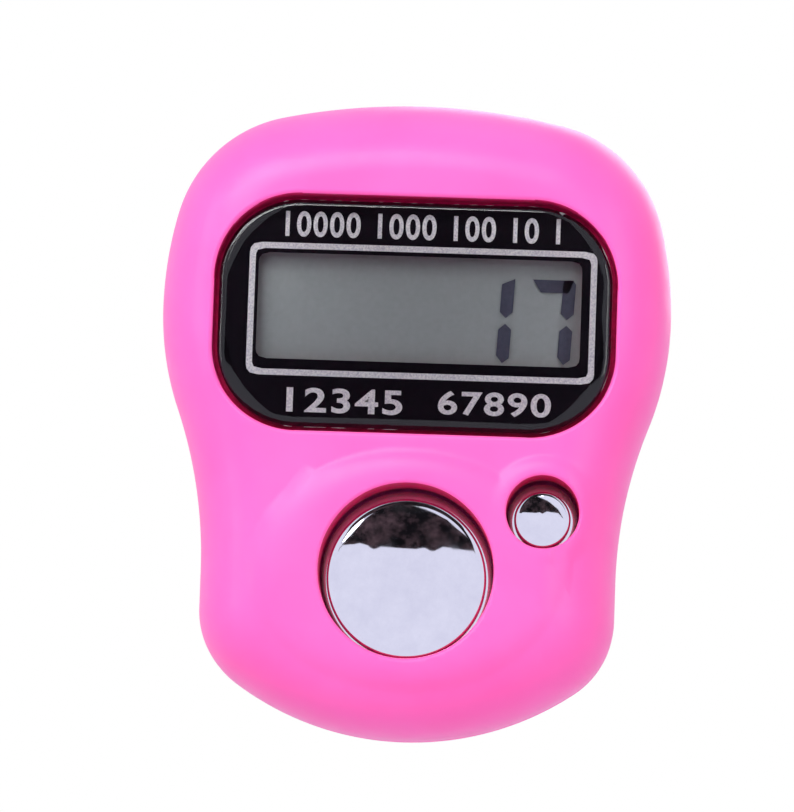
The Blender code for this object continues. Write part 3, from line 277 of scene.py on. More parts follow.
def margin(x, z):
    """How far (x, z) lies inside the case's outline."""
    corner_z = CASE_ARCS[-2][0][1]
    nearest = HEAD_WIDTH / 2 - WAIST_DEPTH - abs(x) if corner_z <= z <= WAIST_Z else CASE_HEIGHT
    for centre, radius, start, end, _, bulge in CASE_ARCS:
        across, up = abs(x) - centre[0], z - centre[1]
        turn = math.atan2(up, across)
        if bulge < 0 and turn < 0:
            turn += math.tau
        low, high = min(start, end), max(start, end)
        if low - 0.02 <= turn <= high + 0.02:
            nearest = min(nearest, bulge * (radius - math.hypot(across, up)))
    return nearest


def swelling(value, softness):
    """Nothing below zero and the value above it, with a soft bend between."""
    return (value + math.sqrt(value**2 + softness**2)) / 2


def collars(x, z):
    """How far the low collars round the two buttons swell out of the face."""
    across, up = x, z - COUNT_Z
    reach = math.hypot(across, up)
    share = math.hypot(across / COUNT_COLLAR_HALF_WIDTH, up / COUNT_COLLAR_HALF_HEIGHT)
    edge = reach / max(share, 0.01)
    mouth = COUNT_BORE_RADIUS + COUNT_MOUTH_ROUND
    part = max((reach - mouth) / (edge - mouth), 0.0)
    count = COUNT_COLLAR_RISE * swelling(1 - part**2.6, 0.1)
    reach = math.hypot(x - RESET_X, z - RESET_Z)
    mouth = RESET_BORE_RADIUS + RESET_MOUTH_ROUND
    part = max((reach - mouth) / (RESET_COLLAR_RADIUS - mouth), 0.0)
    reset = RESET_COLLAR_RISE * swelling(1 - part**2, 0.15)
    if part > 3:
        reset = 0.0
    if reach > 3 * RESET_COLLAR_RADIUS and count < 0.02 * MM:
        count = 0.0
    return (count**3 + reset**3) ** (1 / 3)


def front_skin(x, z, distance):
    """The y of the front shell's outer surface at (x, z), this far inside the outline."""
    share = min(max(1 - distance / FRONT_EDGE_INSET, 0.0), 1.0)
    top = PARTING_Y - SIDE_BAND
    edge = top + (FRONT_Y - top) * (1 - share**FRONT_EDGE_POWER) ** (1 / FRONT_EDGE_POWER)
    crown = FACE_CROWN * (1 - (2 * x / HEAD_WIDTH) ** 2) * (1 - (2 * z / CASE_HEIGHT) ** 2)
    return edge - max(crown, 0.0) - collars(x, z)


def inner_skin(distance):
    """The y of the front shell's inner surface."""
    share = min(max((FRONT_EDGE_INSET - distance) / (FRONT_EDGE_INSET - WALL), 0.0), 1.0)
    top, bottom = PARTING_Y - SIDE_BAND, FRONT_Y + WALL
    return top + (bottom - top) * (1 - share**FRONT_EDGE_POWER) ** (1 / FRONT_EDGE_POWER)


def rounded_rectangle(rays, half_width, half_height, radius, centre_z, y):
    """A ring with one point on each ray from the middle of a rounded rectangle."""
    ring = []
    for ray in rays:
        across, up = abs(ray.x), abs(ray.z - centre_z)
        reach = min(half_width / max(across, 1e-9), half_height / max(up, 1e-9))
        corner_x, corner_z = half_width - radius, half_height - radius
        if across * reach > corner_x and up * reach > corner_z:
            long = across**2 + up**2
            middle = across * corner_x + up * corner_z
            rest = corner_x**2 + corner_z**2 - radius**2
            reach = (middle + math.sqrt(middle**2 - long * rest)) / long
        ring.append(Vector((ray.x * reach, y, centre_z + (ray.z - centre_z) * reach)))
    return ring


# Making meshes


def first_ring(bm, points):
    """A closed ring of edges through the points."""
    ring = [bm.verts.new(point) for point in points]
    for n in range(len(ring)):
        bm.edges.new((ring[n - 1], ring[n]))
    return ring


def grow(bm, ring, points):
    """Extrudes a ring and sets the new one on its own points."""
    edges = [bm.edges.get((ring[n - 1], ring[n])) for n in range(len(ring))]
    made = bmesh.ops.extrude_edge_only(bm, edges=edges)["geom"]
    fresh = {vert.co.to_tuple(): vert for vert in made if isinstance(vert, bmesh.types.BMVert)}
    following = [fresh[vert.co.to_tuple()] for vert in ring]
    for vert, point in zip(following, points):
        vert.co = point
    return following


def lofted(rings, closed=False):
    """A skin through rings of points, capped at both ends, or joined end to end if it is closed."""
    bm = bmesh.new()
    ring = first_ring(bm, rings[0])
    if not closed:
        bm.faces.new(ring)
    for points in rings[1:]:
        ring = grow(bm, ring, points)
    if closed:
        grow(bm, ring, rings[0])
        bmesh.ops.remove_doubles(bm, verts=bm.verts, dist=1e-8)
    else:
        bm.faces.new(ring)
    bmesh.ops.recalc_face_normals(bm, faces=bm.faces)
    return bm


def turned(profile, steps, place=(0.0, 0.0, 0.0), turn=None):
    """A profile of (radius, y), with both ends on the axis, spun round Y and set in place."""
    bm = bmesh.new()
    points = [bm.verts.new((radius, y, 0.0)) for radius, y in profile]
    edges = [bm.edges.new(pair) for pair in zip(points, points[1:])]
    bmesh.ops.spin(
        bm,
        geom=points + edges,
        cent=(0.0, 0.0, 0.0),
        axis=(0.0, 1.0, 0.0),
        angle=math.tau,
        steps=steps,
        use_merge=True,
    )
    bmesh.ops.remove_doubles(bm, verts=bm.verts, dist=1e-8)
    bmesh.ops.recalc_face_normals(bm, faces=bm.faces)
    matrix = Matrix.Translation(place) @ (turn or Matrix.Identity(4))
    bmesh.ops.transform(bm, matrix=matrix, verts=bm.verts)
    return bm


def rod(x, z, radius, y_front, y_back, steps=48):
    """A plain round bar along Y."""
    profile = [(0.0, y_front), (radius, y_front), (radius, y_back), (0.0, y_back)]
    return turned(profile, steps, (x, 0.0, z))


def box(low, high):
    """A block between two opposite corners."""
    bm = bmesh.new()
    bmesh.ops.create_cube(bm, size=1.0)
    bmesh.ops.scale(bm, vec=Vector(high) - Vector(low), verts=bm.verts)
    bmesh.ops.translate(bm, vec=(Vector(low) + Vector(high)) / 2, verts=bm.verts)
    return bm


def to_object(name, bm):
    """Puts a finished bmesh in the scene, with its place in its mesh."""
    mesh = bpy.data.meshes.new(name)
    bm.to_mesh(mesh)
    bm.free()
    made = bpy.data.objects.new(name, mesh)
    bpy.context.scene.collection.objects.link(made)
    return made


def combine(piece, operation, tools):
    """Joins solids to a piece, or cuts them out of it, and keeps the result as its mesh."""
    group = bpy.data.collections.new("tools")
    for number, tool in enumerate(tools):
        helper = to_object(f"tool_{number}", tool)
        bpy.context.scene.collection.objects.unlink(helper)
        group.objects.link(helper)
    boolean = piece.modifiers.new("combine", "BOOLEAN")
    boolean.operation = operation
    boolean.solver = "EXACT"
    boolean.operand_type = "COLLECTION"
    boolean.collection = group
    shaped = piece.evaluated_get(bpy.context.evaluated_depsgraph_get())
    mesh = bpy.data.meshes.new_from_object(shaped)
    piece.modifiers.clear()
    piece.data = mesh
    for helper in list(group.objects):
        bpy.data.objects.remove(helper)
    bpy.data.collections.remove(group)


def dress(piece, finish, body="root", nodes=(), sharp=35.0):
    """Gives a finished piece its material, smooth shading and body, and hides the CAD nodes it
    replaces.
    """
    piece.data.name = piece.name
    piece.data.materials.clear()
    piece.data.materials.append(finish)
    piece.data.shade_smooth()
    piece.data.set_sharp_from_angle(angle=math.radians(sharp))
    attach(piece, body)
    if nodes:
        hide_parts(*nodes)
    return piece


# Making materials


def linear(hex_colour):
    """An sRGB hex value as linear red, green, blue and alpha."""
    shades = [int(hex_colour[n : n + 2], 16) / 255 for n in (1, 3, 5)]
    return (*[s / 12.92 if s <= 0.04045 else ((s + 0.055) / 1.055) ** 2.4 for s in shades], 1.0)


def add(tree, kind, settings=None, inputs=None, stops=(), to=None):
    """Adds a node with its settings and links. An input is a value or another node's output, stops
    are the places and colours of a ramp, and the node's first output may feed one socket."""
    made = tree.nodes.new(kind)
    for name, value in (settings or {}).items():
        setattr(made, name, value)
    for name, value in (inputs or {}).items():
        if isinstance(value, bpy.types.NodeSocket):
            tree.links.new(value, made.inputs[name])
        else:
            made.inputs[name].default_value = value
    for number, (place, colour) in enumerate(stops):
        element = made.color_ramp.elements[number]
        element.position, element.color = place, colour
    if to:
        tree.links.new(made.outputs[0], to)
    return made


def surface(name, values):
    """A material with one Principled shader, and the values of its own sockets."""
    made = bpy.data.materials.new(name)
    made.use_nodes = True
    shader = made.node_tree.nodes["Principled BSDF"]
    for socket, value in values.items():
        shader.inputs[socket].default_value = value
    return made, made.node_tree, shader


def grey(value):
    """A ramp's colour for a plain number."""
    return (value, value, value, 1.0)


def pink_abs():
    """Gloss-moulded ABS in a strong pink: an even colour with a soft sheen, because the mould is
    polished but not mirror bright, and a faint orange-peel ripple that breaks up its highlights."""
    made, tree, shader = surface(
        "pink_abs",
        {
            "IOR": 1.5,
            "Specular IOR Level": 0.4,
            "Subsurface Weight": 0.06,
            "Subsurface Radius": (1.0, 0.25, 0.55),
            "Subsurface Scale": 0.6 * MM,
        },
    )
    place = add(tree, "ShaderNodeTexCoord").outputs["Object"]
    flow = add(
        tree, "ShaderNodeTexNoise", inputs={"Vector": place, "Scale": 1 / (6 * MM), "Detail": 2.0}
    )
    shades = [(0.3, linear("#FF5BAE")), (0.7, linear("#FF62B4"))]
    factor = {"Fac": flow.outputs["Fac"]}
    add(tree, "ShaderNodeValToRGB", inputs=factor, stops=shades, to=shader.inputs["Base Color"])
    wear = add(
        tree,
        "ShaderNodeTexNoise",
        inputs={"Vector": place, "Scale": 1 / (1.6 * MM), "Detail": 4.0, "Roughness": 0.6},
    )
    gloss = [(0.25, grey(0.34)), (0.75, grey(0.42))]
    factor = {"Fac": wear.outputs["Fac"]}
    add(tree, "ShaderNodeValToRGB", inputs=factor, stops=gloss, to=shader.inputs["Roughness"])
    peel = add(
        tree,
        "ShaderNodeTexNoise",
        inputs={"Vector": place, "Scale": 1 / (0.35 * MM), "Detail": 2.0},
    )
    relief = {"Strength": 0.12, "Distance": 0.01 * MM, "Height": peel.outputs["Fac"]}
    add(tree, "ShaderNodeBump", inputs=relief, to=shader.inputs["Normal"])
    return made


def chromed_abs():
    """Chrome plated on ABS: a clear cold mirror, very slightly hazed by handling and with the
    shallow ripple of the plastic under the plating."""
    made, tree, shader = surface("chromed_abs", {"Metallic": 1.0})
    place = add(tree, "ShaderNodeTexCoord").outputs["Object"]
    haze = add(
        tree,
        "ShaderNodeTexNoise",
        inputs={"Vector": place, "Scale": 1 / (1.2 * MM), "Detail": 5.0, "Roughness": 0.65},
    )
    tint = [(0.3, linear("#E6E6F0")), (0.7, linear("#F0F0F8"))]
    factor = {"Fac": haze.outputs["Fac"]}
    add(tree, "ShaderNodeValToRGB", inputs=factor, stops=tint, to=shader.inputs["Base Color"])
    gloss = [(0.4, grey(0.02)), (0.8, grey(0.07))]
    add(tree, "ShaderNodeValToRGB", inputs=factor, stops=gloss, to=shader.inputs["Roughness"])
    ripple = add(
        tree, "ShaderNodeTexNoise", inputs={"Vector": place, "Scale": 1 / (2.2 * MM), "Detail": 1.0}
    )
    relief = {"Strength": 0.25, "Distance": 0.02 * MM, "Height": ripple.outputs["Fac"]}
    add(tree, "ShaderNodeBump", inputs=relief, to=shader.inputs["Normal"])
    return made


def clear_acrylic():
    """A polished acrylic lens: clear all through, glossy, with fine smears that catch the light."""
    made, tree, shader = surface(
        "clear_acrylic", {"IOR": 1.49, "Transmission Weight": 1.0, "Base Color": linear("#FDFDFF")}
    )
    place = add(tree, "ShaderNodeTexCoord").outputs["Object"]
    smear = add(
        tree,
        "ShaderNodeTexNoise",
        inputs={"Vector": place, "Scale": 1 / (2.5 * MM), "Detail": 6.0},
    )
    gloss = [(0.45, grey(0.0)), (0.85, grey(0.06))]
    factor = {"Fac": smear.outputs["Fac"]}
    add(tree, "ShaderNodeValToRGB", inputs=factor, stops=gloss, to=shader.inputs["Roughness"])
    return made


def screen_ink(name, light, dark, roughness):
    """Screen-printed ink on the back of the lens: an even film with the faint speckle that the
    printing mesh leaves. It has no gloss of its own, since it is wetted to the acrylic."""
    made, tree, shader = surface(name, {"Specular IOR Level": 0.0})
    place = add(tree, "ShaderNodeTexCoord").outputs["Object"]
    speckle = add(
        tree,
        "ShaderNodeTexNoise",
        inputs={"Vector": place, "Scale": 1 / (0.12 * MM), "Detail": 3.0, "Roughness": 0.7},
    )
    shades = [(0.35, linear(dark)), (0.6, linear(light))]
    factor = {"Fac": speckle.outputs["Fac"]}
    add(tree, "ShaderNodeValToRGB", inputs=factor, stops=shades, to=shader.inputs["Base Color"])
    gloss = [(0.3, grey(roughness - 0.08)), (0.7, grey(roughness + 0.08))]
    add(tree, "ShaderNodeValToRGB", inputs=factor, stops=gloss, to=shader.inputs["Roughness"])
    return made


def satin_film(name, light, dark, roughness, grain):
    """A matt plastic film with a fine even grain, as on the face of a liquid crystal display."""
    made, tree, shader = surface(name, {"IOR": 1.48})
    place = add(tree, "ShaderNodeTexCoord").outputs["Object"]
    texture = add(
        tree,
        "ShaderNodeTexNoise",
        inputs={"Vector": place, "Scale": 1 / grain, "Detail": 3.0, "Roughness": 0.6},
    )
    shades = [(0.3, linear(dark)), (0.7, linear(light))]
    factor = {"Fac": texture.outputs["Fac"]}
    add(tree, "ShaderNodeValToRGB", inputs=factor, stops=shades, to=shader.inputs["Base Color"])
    gloss = [(0.3, grey(roughness - 0.06)), (0.7, grey(roughness + 0.06))]
    add(tree, "ShaderNodeValToRGB", inputs=factor, stops=gloss, to=shader.inputs["Roughness"])
    relief = {"Strength": 0.2, "Distance": 0.005 * MM, "Height": texture.outputs["Fac"]}
    add(tree, "ShaderNodeBump", inputs=relief, to=shader.inputs["Normal"])
    return made


def soft_pvc():
    """Soft black PVC: nearly black, with a silky sheen and the fine grain of a textured mould."""
    made, tree, shader = surface("soft_black_pvc", {"IOR": 1.52, "Sheen Weight": 0.15})
    place = add(tree, "ShaderNodeTexCoord").outputs["Object"]
    cells = add(tree, "ShaderNodeTexVoronoi", inputs={"Vector": place, "Scale": 1 / (0.22 * MM)})
    dust = add(
        tree,
        "ShaderNodeTexNoise",
        inputs={"Vector": place, "Scale": 1 / (1.5 * MM), "Detail": 5.0, "Roughness": 0.65},
    )
    shades = [(0.3, linear("#141415")), (0.8, linear("#242426"))]
    factor = {"Fac": dust.outputs["Fac"]}
    add(tree, "ShaderNodeValToRGB", inputs=factor, stops=shades, to=shader.inputs["Base Color"])
    gloss = [(0.3, grey(0.42)), (0.7, grey(0.56))]
    add(tree, "ShaderNodeValToRGB", inputs=factor, stops=gloss, to=shader.inputs["Roughness"])
    relief = {"Strength": 0.5, "Distance": 0.012 * MM, "Height": cells.outputs["Distance"]}
    add(tree, "ShaderNodeBump", inputs=relief, to=shader.inputs["Normal"])
    return made


def worked_metal(name, light, dark, roughness, grain, stretch):
    """Bare or plated metal with the fine lines of its rolling, stamping or turning."""
    made, tree, shader = surface(name, {"Metallic": 1.0})
    place = add(tree, "ShaderNodeTexCoord").outputs["Object"]
    stretched = add(tree, "ShaderNodeMapping", inputs={"Vector": place, "Scale": stretch})
    lines = add(
        tree,
        "ShaderNodeTexNoise",
        inputs={
            "Vector": stretched.outputs["Vector"],
            "Scale": 1 / grain,
            "Detail": 4.0,
            "Roughness": 0.6,
        },
    )
    shades = [(0.3, linear(dark)), (0.7, linear(light))]
    factor = {"Fac": lines.outputs["Fac"]}
    add(tree, "ShaderNodeValToRGB", inputs=factor, stops=shades, to=shader.inputs["Base Color"])
    gloss = [(0.3, grey(roughness - 0.07)), (0.7, grey(roughness + 0.07))]
    add(tree, "ShaderNodeValToRGB", inputs=factor, stops=gloss, to=shader.inputs["Roughness"])
    relief = {"Strength": 0.3, "Distance": 0.004 * MM, "Height": lines.outputs["Fac"]}
    add(tree, "ShaderNodeBump", inputs=relief, to=shader.inputs["Normal"])
    return made


def moulded(name, light, dark, roughness, grain, values=None):
    """A moulded or cast material: slight clouding, uneven gloss and a fine surface grain."""
    made, tree, shader = surface(name, values or {})
    place = add(tree, "ShaderNodeTexCoord").outputs["Object"]
    cloud = add(
        tree,
        "ShaderNodeTexNoise",
        inputs={"Vector": place, "Scale": 1 / (4 * grain), "Detail": 4.0, "Roughness": 0.6},
    )
    shades = [(0.3, linear(dark)), (0.7, linear(light))]
    factor = {"Fac": cloud.outputs["Fac"]}
    add(tree, "ShaderNodeValToRGB", inputs=factor, stops=shades, to=shader.inputs["Base Color"])
    gloss = [(0.3, grey(roughness - 0.06)), (0.7, grey(roughness + 0.06))]
    add(tree, "ShaderNodeValToRGB", inputs=factor, stops=gloss, to=shader.inputs["Roughness"])
    fine = add(
        tree, "ShaderNodeTexNoise", inputs={"Vector": place, "Scale": 1 / grain, "Detail": 3.0}
    )
    relief = {"Strength": 0.25, "Distance": 0.01 * MM, "Height": fine.outputs["Fac"]}
    add(tree, "ShaderNodeBump", inputs=relief, to=shader.inputs["Normal"])
    return made


def striped_rubber():
    """Connector rubber: pale insulating and dark conducting layers in turn, 0.18 mm apart."""
    made, tree, shader = surface("striped_rubber", {"Roughness": 0.6})
    place = add(tree, "ShaderNodeTexCoord").outputs["Object"]
    bands = add(
        tree,
        "ShaderNodeTexWave",
        {"wave_type": "BANDS", "bands_direction": "X"},
        {"Vector": place, "Scale": 0.314 / (0.36 * MM), "Distortion": 0.4},
    )
    shades = [(0.45, linear("#D98FA0")), (0.55, linear("#1C1A1C"))]
    factor = {"Fac": bands.outputs["Fac"]}
    add(tree, "ShaderNodeValToRGB", inputs=factor, stops=shades, to=shader.inputs["Base Color"])
    return made


def fibre_board():
    """Glass fibre board under green lacquer: a fine weave below a glossy, slightly cloudy coat."""
    coat = {"Coat Weight": 0.5, "Coat Roughness": 0.2}
    made, tree, shader = surface("lacquered_fibre_board", coat)
    place = add(tree, "ShaderNodeTexCoord").outputs["Object"]
    weave = add(
        tree,
        "ShaderNodeTexWave",
        {"wave_type": "BANDS", "bands_direction": "DIAGONAL"},
        {"Vector": place, "Scale": 0.314 / (0.5 * MM), "Distortion": 2.0, "Detail": 2.0},
    )
    shades = [(0.2, linear("#0B4A23")), (0.8, linear("#12602F"))]
    factor = {"Fac": weave.outputs["Fac"]}
    add(tree, "ShaderNodeValToRGB", inputs=factor, stops=shades, to=shader.inputs["Base Color"])
    cloud = add(
        tree, "ShaderNodeTexNoise", inputs={"Vector": place, "Scale": 1 / (2 * MM), "Detail": 3.0}
    )
    gloss = [(0.3, grey(0.35)), (0.7, grey(0.5))]
    factor = {"Fac": cloud.outputs["Fac"]}
    add(tree, "ShaderNodeValToRGB", inputs=factor, stops=gloss, to=shader.inputs["Roughness"])
    return made


PINK = pink_abs()
# The same ABS where the mould is left unpolished: dull walls. Their darker crimson colour is
# painted shade: it stands for the shade deep in the bores and the window's recess, where the light
# that has passed through the translucent pink looks crimson
PINK_RECESS_PAINTED_SHADE = moulded(
    "rough_pink_abs_painted_shade", "#E0185F", "#B00E48", 0.62, 0.12 * MM, {"Specular IOR Level": 0.15}
)
CHROME = chromed_abs()
ACRYLIC = clear_acrylic()
# Two inks printed on the lens's back: a dense black, and a bright metallic silver
BLACK_INK = screen_ink("black_screen_ink", "#16141A", "#0F0D12", 0.35)
SILVER_INK = screen_ink("silver_screen_ink", "#FFFFFF", "#D6D6E0", 0.5)
# The display's film: grey-green and even, and darker where the liquid crystal blocks the light
DISPLAY_FILM = satin_film("display_polariser", "#B7C0BE", "#B0B9B6", 0.4, 0.3 * MM)
SEGMENT_FILM = satin_film("liquid_crystal", "#565A6E", "#4C5062", 0.4, 0.3 * MM)
BLACK_PVC = soft_pvc()
# Zinc plated steel, as on small screws: grey and only half bright
ZINC_STEEL = worked_metal("zinc_plated_steel", "#B9BABD", "#8E8F93", 0.34, 0.3 * MM, (1, 4, 1))

NODE_FINISHES = {
    # Double-sided foam tape, matt and a little pitted
    "window_adhesive": moulded("black_foam_tape", "#141416", "#0C0C0E", 0.8, 0.15 * MM),
    "lcd_front_polariser": DISPLAY_FILM,
    # Display glass, clear and slightly green
    "lcd_front_glass": moulded(
        "display_glass", "#EAF4EE", "#E0ECE6", 0.08, 0.5 * MM, {"Transmission Weight": 0.9}
    ),
    # Foil that throws the light back through the display: bright but diffuse
    "lcd_reflector": worked_metal(
        "reflector_foil", "#B6BAB4", "#9DA19B", 0.42, 0.25 * MM, (1, 1, 8)
    ),
    # Uncoloured ABS holder, off-white and satin
    "lcd_frame": moulded("white_abs", "#E6E4DD", "#DAD8D0", 0.45, 0.3 * MM),
    "zebra_strip": striped_rubber(),
    "circuit_board": fibre_board(),
    # A blob of potting resin over the chip, black with a soft gloss
    "driver_chip": moulded("black_epoxy", "#121214", "#08080A", 0.3, 0.5 * MM),
    # Sintered ceramic, brown and dry looking
    "capacitor": moulded("brown_ceramic", "#9A7448", "#7C5A36", 0.55, 0.1 * MM),
    # Glazed film on a ceramic chip, black and fairly smooth
    "resistor": moulded("resistor_glaze", "#17171B", "#0D0D10", 0.4, 0.1 * MM),
    # Deep-drawn steel, with the bright lines of its forming
    "button_cell": worked_metal("drawn_steel", "#C4C5C6", "#A2A3A6", 0.27, 0.2 * MM, (6, 1, 1)),
    # Nickel plated spring strip, warm grey and lined by its rolling
    "battery_positive_contact": worked_metal(
        "nickel_strip", "#C9C4B8", "#A8A296", 0.3, 0.2 * MM, (1, 1, 6)
    ),
    # Moulded silicone, milky and a little greasy
    "count_rubber_dome": moulded("milky_silicone", "#C9CCCB", "#B2B6B5", 0.5, 0.3 * MM),
    # Carbon-filled rubber, black and dull
    "count_carbon_pill": moulded("carbon_rubber", "#1B1B1C", "#101011", 0.7, 0.12 * MM),
    "board_screw_left": ZINC_STEEL,
}
SAME_FINISH = {
    "lcd_rear_glass": "lcd_front_glass",
    "battery_negative_contact": "battery_positive_contact",
    "reset_rubber_dome": "count_rubber_dome",
    "reset_carbon_pill": "count_carbon_pill",
    "board_screw_right": "board_screw_left",
}
for node_name, twin in SAME_FINISH.items():
    NODE_FINISHES[node_name] = NODE_FINISHES[twin]
for node_name, finish in NODE_FINISHES.items():
    mesh = frame["nodes"][node_name].data
    mesh.materials.clear()
    mesh.materials.append(finish)

# Each rubber dome gets its own copy of its mesh
for node_name, joint_name, dome_z in (
    ("count_rubber_dome", "count_press", COUNT_Z),
    ("reset_rubber_dome", "reset_press", RESET_Z),
):
    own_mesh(frame["nodes"][node_name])


# Front shell

EDGE_RINGS = 14
EDGE_REACH = 2.2 * MM  # the steep part of the edge, where rings follow the outline
FACE_RINGS = 60
FILLET_STEPS = 6
INNER_RINGS = 14
SEAM_SHARE = 0.3  # where the middle ring of a small rounded edge lies
COUNT_SLEEVE_WALL = 1.0 * MM
RESET_SLEEVE_WALL = 0.8 * MM
COUNT_SLEEVE_SINK = 0.8 * MM  # how deep under the face a sleeve starts
RESET_SLEEVE_SINK = 1.3 * MM
SKIN_OVERLAP = 0.7 * MM  # how far a boss reaches into the wall it stands on
POST_HOLE_DEPTH = 2.5 * MM
OPENING_RADIUS = 0.5 * MM
HAIR = 0.02 * MM  # keeps two faces from meeting


def mouth_cutter(x, z, radius, rounding, end_y):
    """A cutter for a bore whose mouth is rounded and follows the swollen face round it."""
    profile = [(0.0, -2 * MM), (radius + 2 * MM, -0.9 * MM)]
    for step in range(FILLET_STEPS + 1):
        turn = math.radians(68) * (1 - step / FILLET_STEPS)
        profile.append((radius + rounding * (1 - math.cos(turn)), rounding * (1 - math.sin(turn))))
    profile += [(radius, end_y - FRONT_Y), (0.0, end_y - FRONT_Y)]
    bm = turned(profile, 160, (x, 0.0, z))
    for vert in bm.verts:
        reach = math.hypot(vert.co.x - x, vert.co.z - z)
        if vert.co.y > 0.99 * (end_y - FRONT_Y) or reach < 0.1 * MM:
            vert.co.y += FRONT_Y
            continue
        scale = (radius + rounding) / reach
        side_x, side_z = x + (vert.co.x - x) * scale, z + (vert.co.z - z) * scale
        vert.co.y += front_skin(side_x, side_z, margin(side_x, side_z))
    return bm


def roughen_and_shade_recesses(piece):
    """Gives the walls of the two bores and of the window's recess their duller finish and a darker
    crimson painted shade.
    """
    piece.data.materials.append(PINK_RECESS_PAINTED_SHADE)
    for face in piece.data.polygons:
        x, z = face.center.x, face.center.z
        across = max(abs(x) - (WINDOW_HALF_WIDTH - WINDOW_RADIUS), 0.0)
        up = max(abs(z - WINDOW_Z) - (WINDOW_HALF_HEIGHT - WINDOW_RADIUS), 0.0)
        window = math.hypot(across, up) < WINDOW_RADIUS + FIT_GAP + HAIR
        count = math.hypot(x, z - COUNT_Z) < COUNT_BORE_RADIUS + HAIR
        reset = math.hypot(x - RESET_X, z - RESET_Z) < RESET_BORE_RADIUS + HAIR
        if window or count or reset:
            face.material_index = 1


def make_front_shell():
    """The moulded front half: its rounded edge, recess, collars, bores, sleeves and bosses."""
    seam = PARTING_Y - SEAM_ROUND
    rings = [outline(SEAM_ROUND, PARTING_Y)]
    rings.append(outline(SEAM_ROUND * SEAM_SHARE, PARTING_Y - SEAM_ROUND * SEAM_SHARE))
    rings.append(outline(0.0, seam))
    rings.append(outline(0.0, PARTING_Y - SIDE_BAND))
    for n in range(1, EDGE_RINGS + 1):
        distance = EDGE_REACH * (n / EDGE_RINGS) ** 2
        ring = outline(distance, 0.0)
        for point in ring:
            point.y = front_skin(point.x, point.z, distance)
        rings.append(ring)
    edge = rings[-1]

    def window(growth, y):
        half_width, half_height = WINDOW_HALF_WIDTH + growth, WINDOW_HALF_HEIGHT + growth
        radius = WINDOW_RADIUS + growth
        return rounded_rectangle(edge, half_width, half_height, radius, WINDOW_Z, y)

    mouth = window(FIT_GAP + POCKET_ROUND, 0.0)
    for n in range(1, FACE_RINGS + 1):
        ring = [start.lerp(end, n / FACE_RINGS) for start, end in zip(edge, mouth)]
        for point in ring:
            point.y = front_skin(point.x, point.z, margin(point.x, point.z))
        rings.append(ring)
    lip = rings[-1]
    wall = window(FIT_GAP, 0.0)
    for step in range(1, FILLET_STEPS + 1):
        turn = math.pi / 2 * step / FILLET_STEPS
        ring = [inner.lerp(outer, 1 - math.sin(turn)) for inner, outer in zip(wall, lip)]
        for point, outer in zip(ring, lip):
            point.y = outer.y + POCKET_ROUND * (1 - math.cos(turn))
        rings.append(ring)
    rings.append(window(FIT_GAP, POCKET_FLOOR_Y - 0.1 * MM))
    rings.append(window(FIT_GAP - 0.1 * MM, POCKET_FLOOR_Y))
    opening = (OPENING_HALF_WIDTH, OPENING_HALF_HEIGHT, OPENING_RADIUS, LCD_Z)
    rings.append(rounded_rectangle(edge, *opening, POCKET_FLOOR_Y))
    rings.append(rounded_rectangle(edge, *opening, LEDGE_BACK_Y))
    moulding = window(FIT_GAP + MOULDING_WIDTH, 0.0)
    for point in moulding:
        point.y = max(LEDGE_BACK_Y, inner_skin(margin(point.x, point.z)) + HAIR)
    rings.append(moulding)
    root = window(FIT_GAP + MOULDING_WIDTH + 0.03 * MM, 0.0)
    rim = outline(WALL, PARTING_Y - SIDE_BAND)
    for n in range(INNER_RINGS + 1):
        ring = [start.lerp(end, (n / INNER_RINGS) ** 0.6) for start, end in zip(root, rim)]
        for point in ring:
            point.y = inner_skin(margin(point.x, point.z))
        rings.append(ring)
    rings.append(outline(WALL, PARTING_Y))
    piece = to_object("front_shell_skin", lofted(rings, closed=True))
    solids = [
        rod(x, z, radius, FRONT_Y + sink, SLEEVE_END_Y, steps)
        for x, z, radius, sink, steps in (
            (0.0, COUNT_Z, COUNT_BORE_RADIUS + COUNT_SLEEVE_WALL, COUNT_SLEEVE_SINK, 96),
            (RESET_X, RESET_Z, RESET_BORE_RADIUS + RESET_SLEEVE_WALL, RESET_SLEEVE_SINK, 64),
        )
    ]
    cuts = [
        mouth_cutter(0.0, COUNT_Z, COUNT_BORE_RADIUS, COUNT_MOUTH_ROUND, FLANGE_Y),
        mouth_cutter(RESET_X, RESET_Z, RESET_BORE_RADIUS, RESET_MOUTH_ROUND, FLANGE_Y),
    ]
    for x, z in CASE_SCREWS.values():
        start = inner_skin(margin(x, z) - BOSS_RADIUS) - SKIN_OVERLAP
        solids.append(rod(x, z, BOSS_RADIUS, start, PARTING_Y - 0.01 * MM))
        tip = CASE_SCREW_SEAT_Y - CASE_SCREW_LENGTH - FIT_GAP
        cuts.append(rod(x, z, CASE_SCREW_SHAFT + THREAD_GAP, tip, PARTING_Y + FIT_GAP))
    for x, z in BOARD_POSTS:
        start = inner_skin(margin(x, z) - POST_RADIUS) - SKIN_OVERLAP
        solids.append(rod(x, z, POST_RADIUS, start, POST_END_Y))
        cuts.append(rod(x, z, POST_HOLE, POST_END_Y - POST_HOLE_DEPTH, POST_END_Y + FIT_GAP))
    combine(piece, "UNION", solids)
    combine(piece, "DIFFERENCE", cuts)
    dress(piece, PINK, "root", ["front_shell"])
    # duller walls, with a darker crimson colour as painted shade, in the bores and the window's
    # recess
    roughen_and_shade_recesses(piece)
    evened = piece.modifiers.new("even_shading", "WEIGHTED_NORMAL")
    evened.keep_sharp = True


# Back shell and battery door


def back_skin(distance):
    """The y of the back shell's outer surface, this far inside the outline."""
    share = min(max(1 - distance / BACK_EDGE_INSET, 0.0), 1.0)
    start = BACK_RIM_Y + BACK_BAND
    return start + (BACK_Y - start) * (1 - share**BACK_EDGE_POWER) ** (1 / BACK_EDGE_POWER)


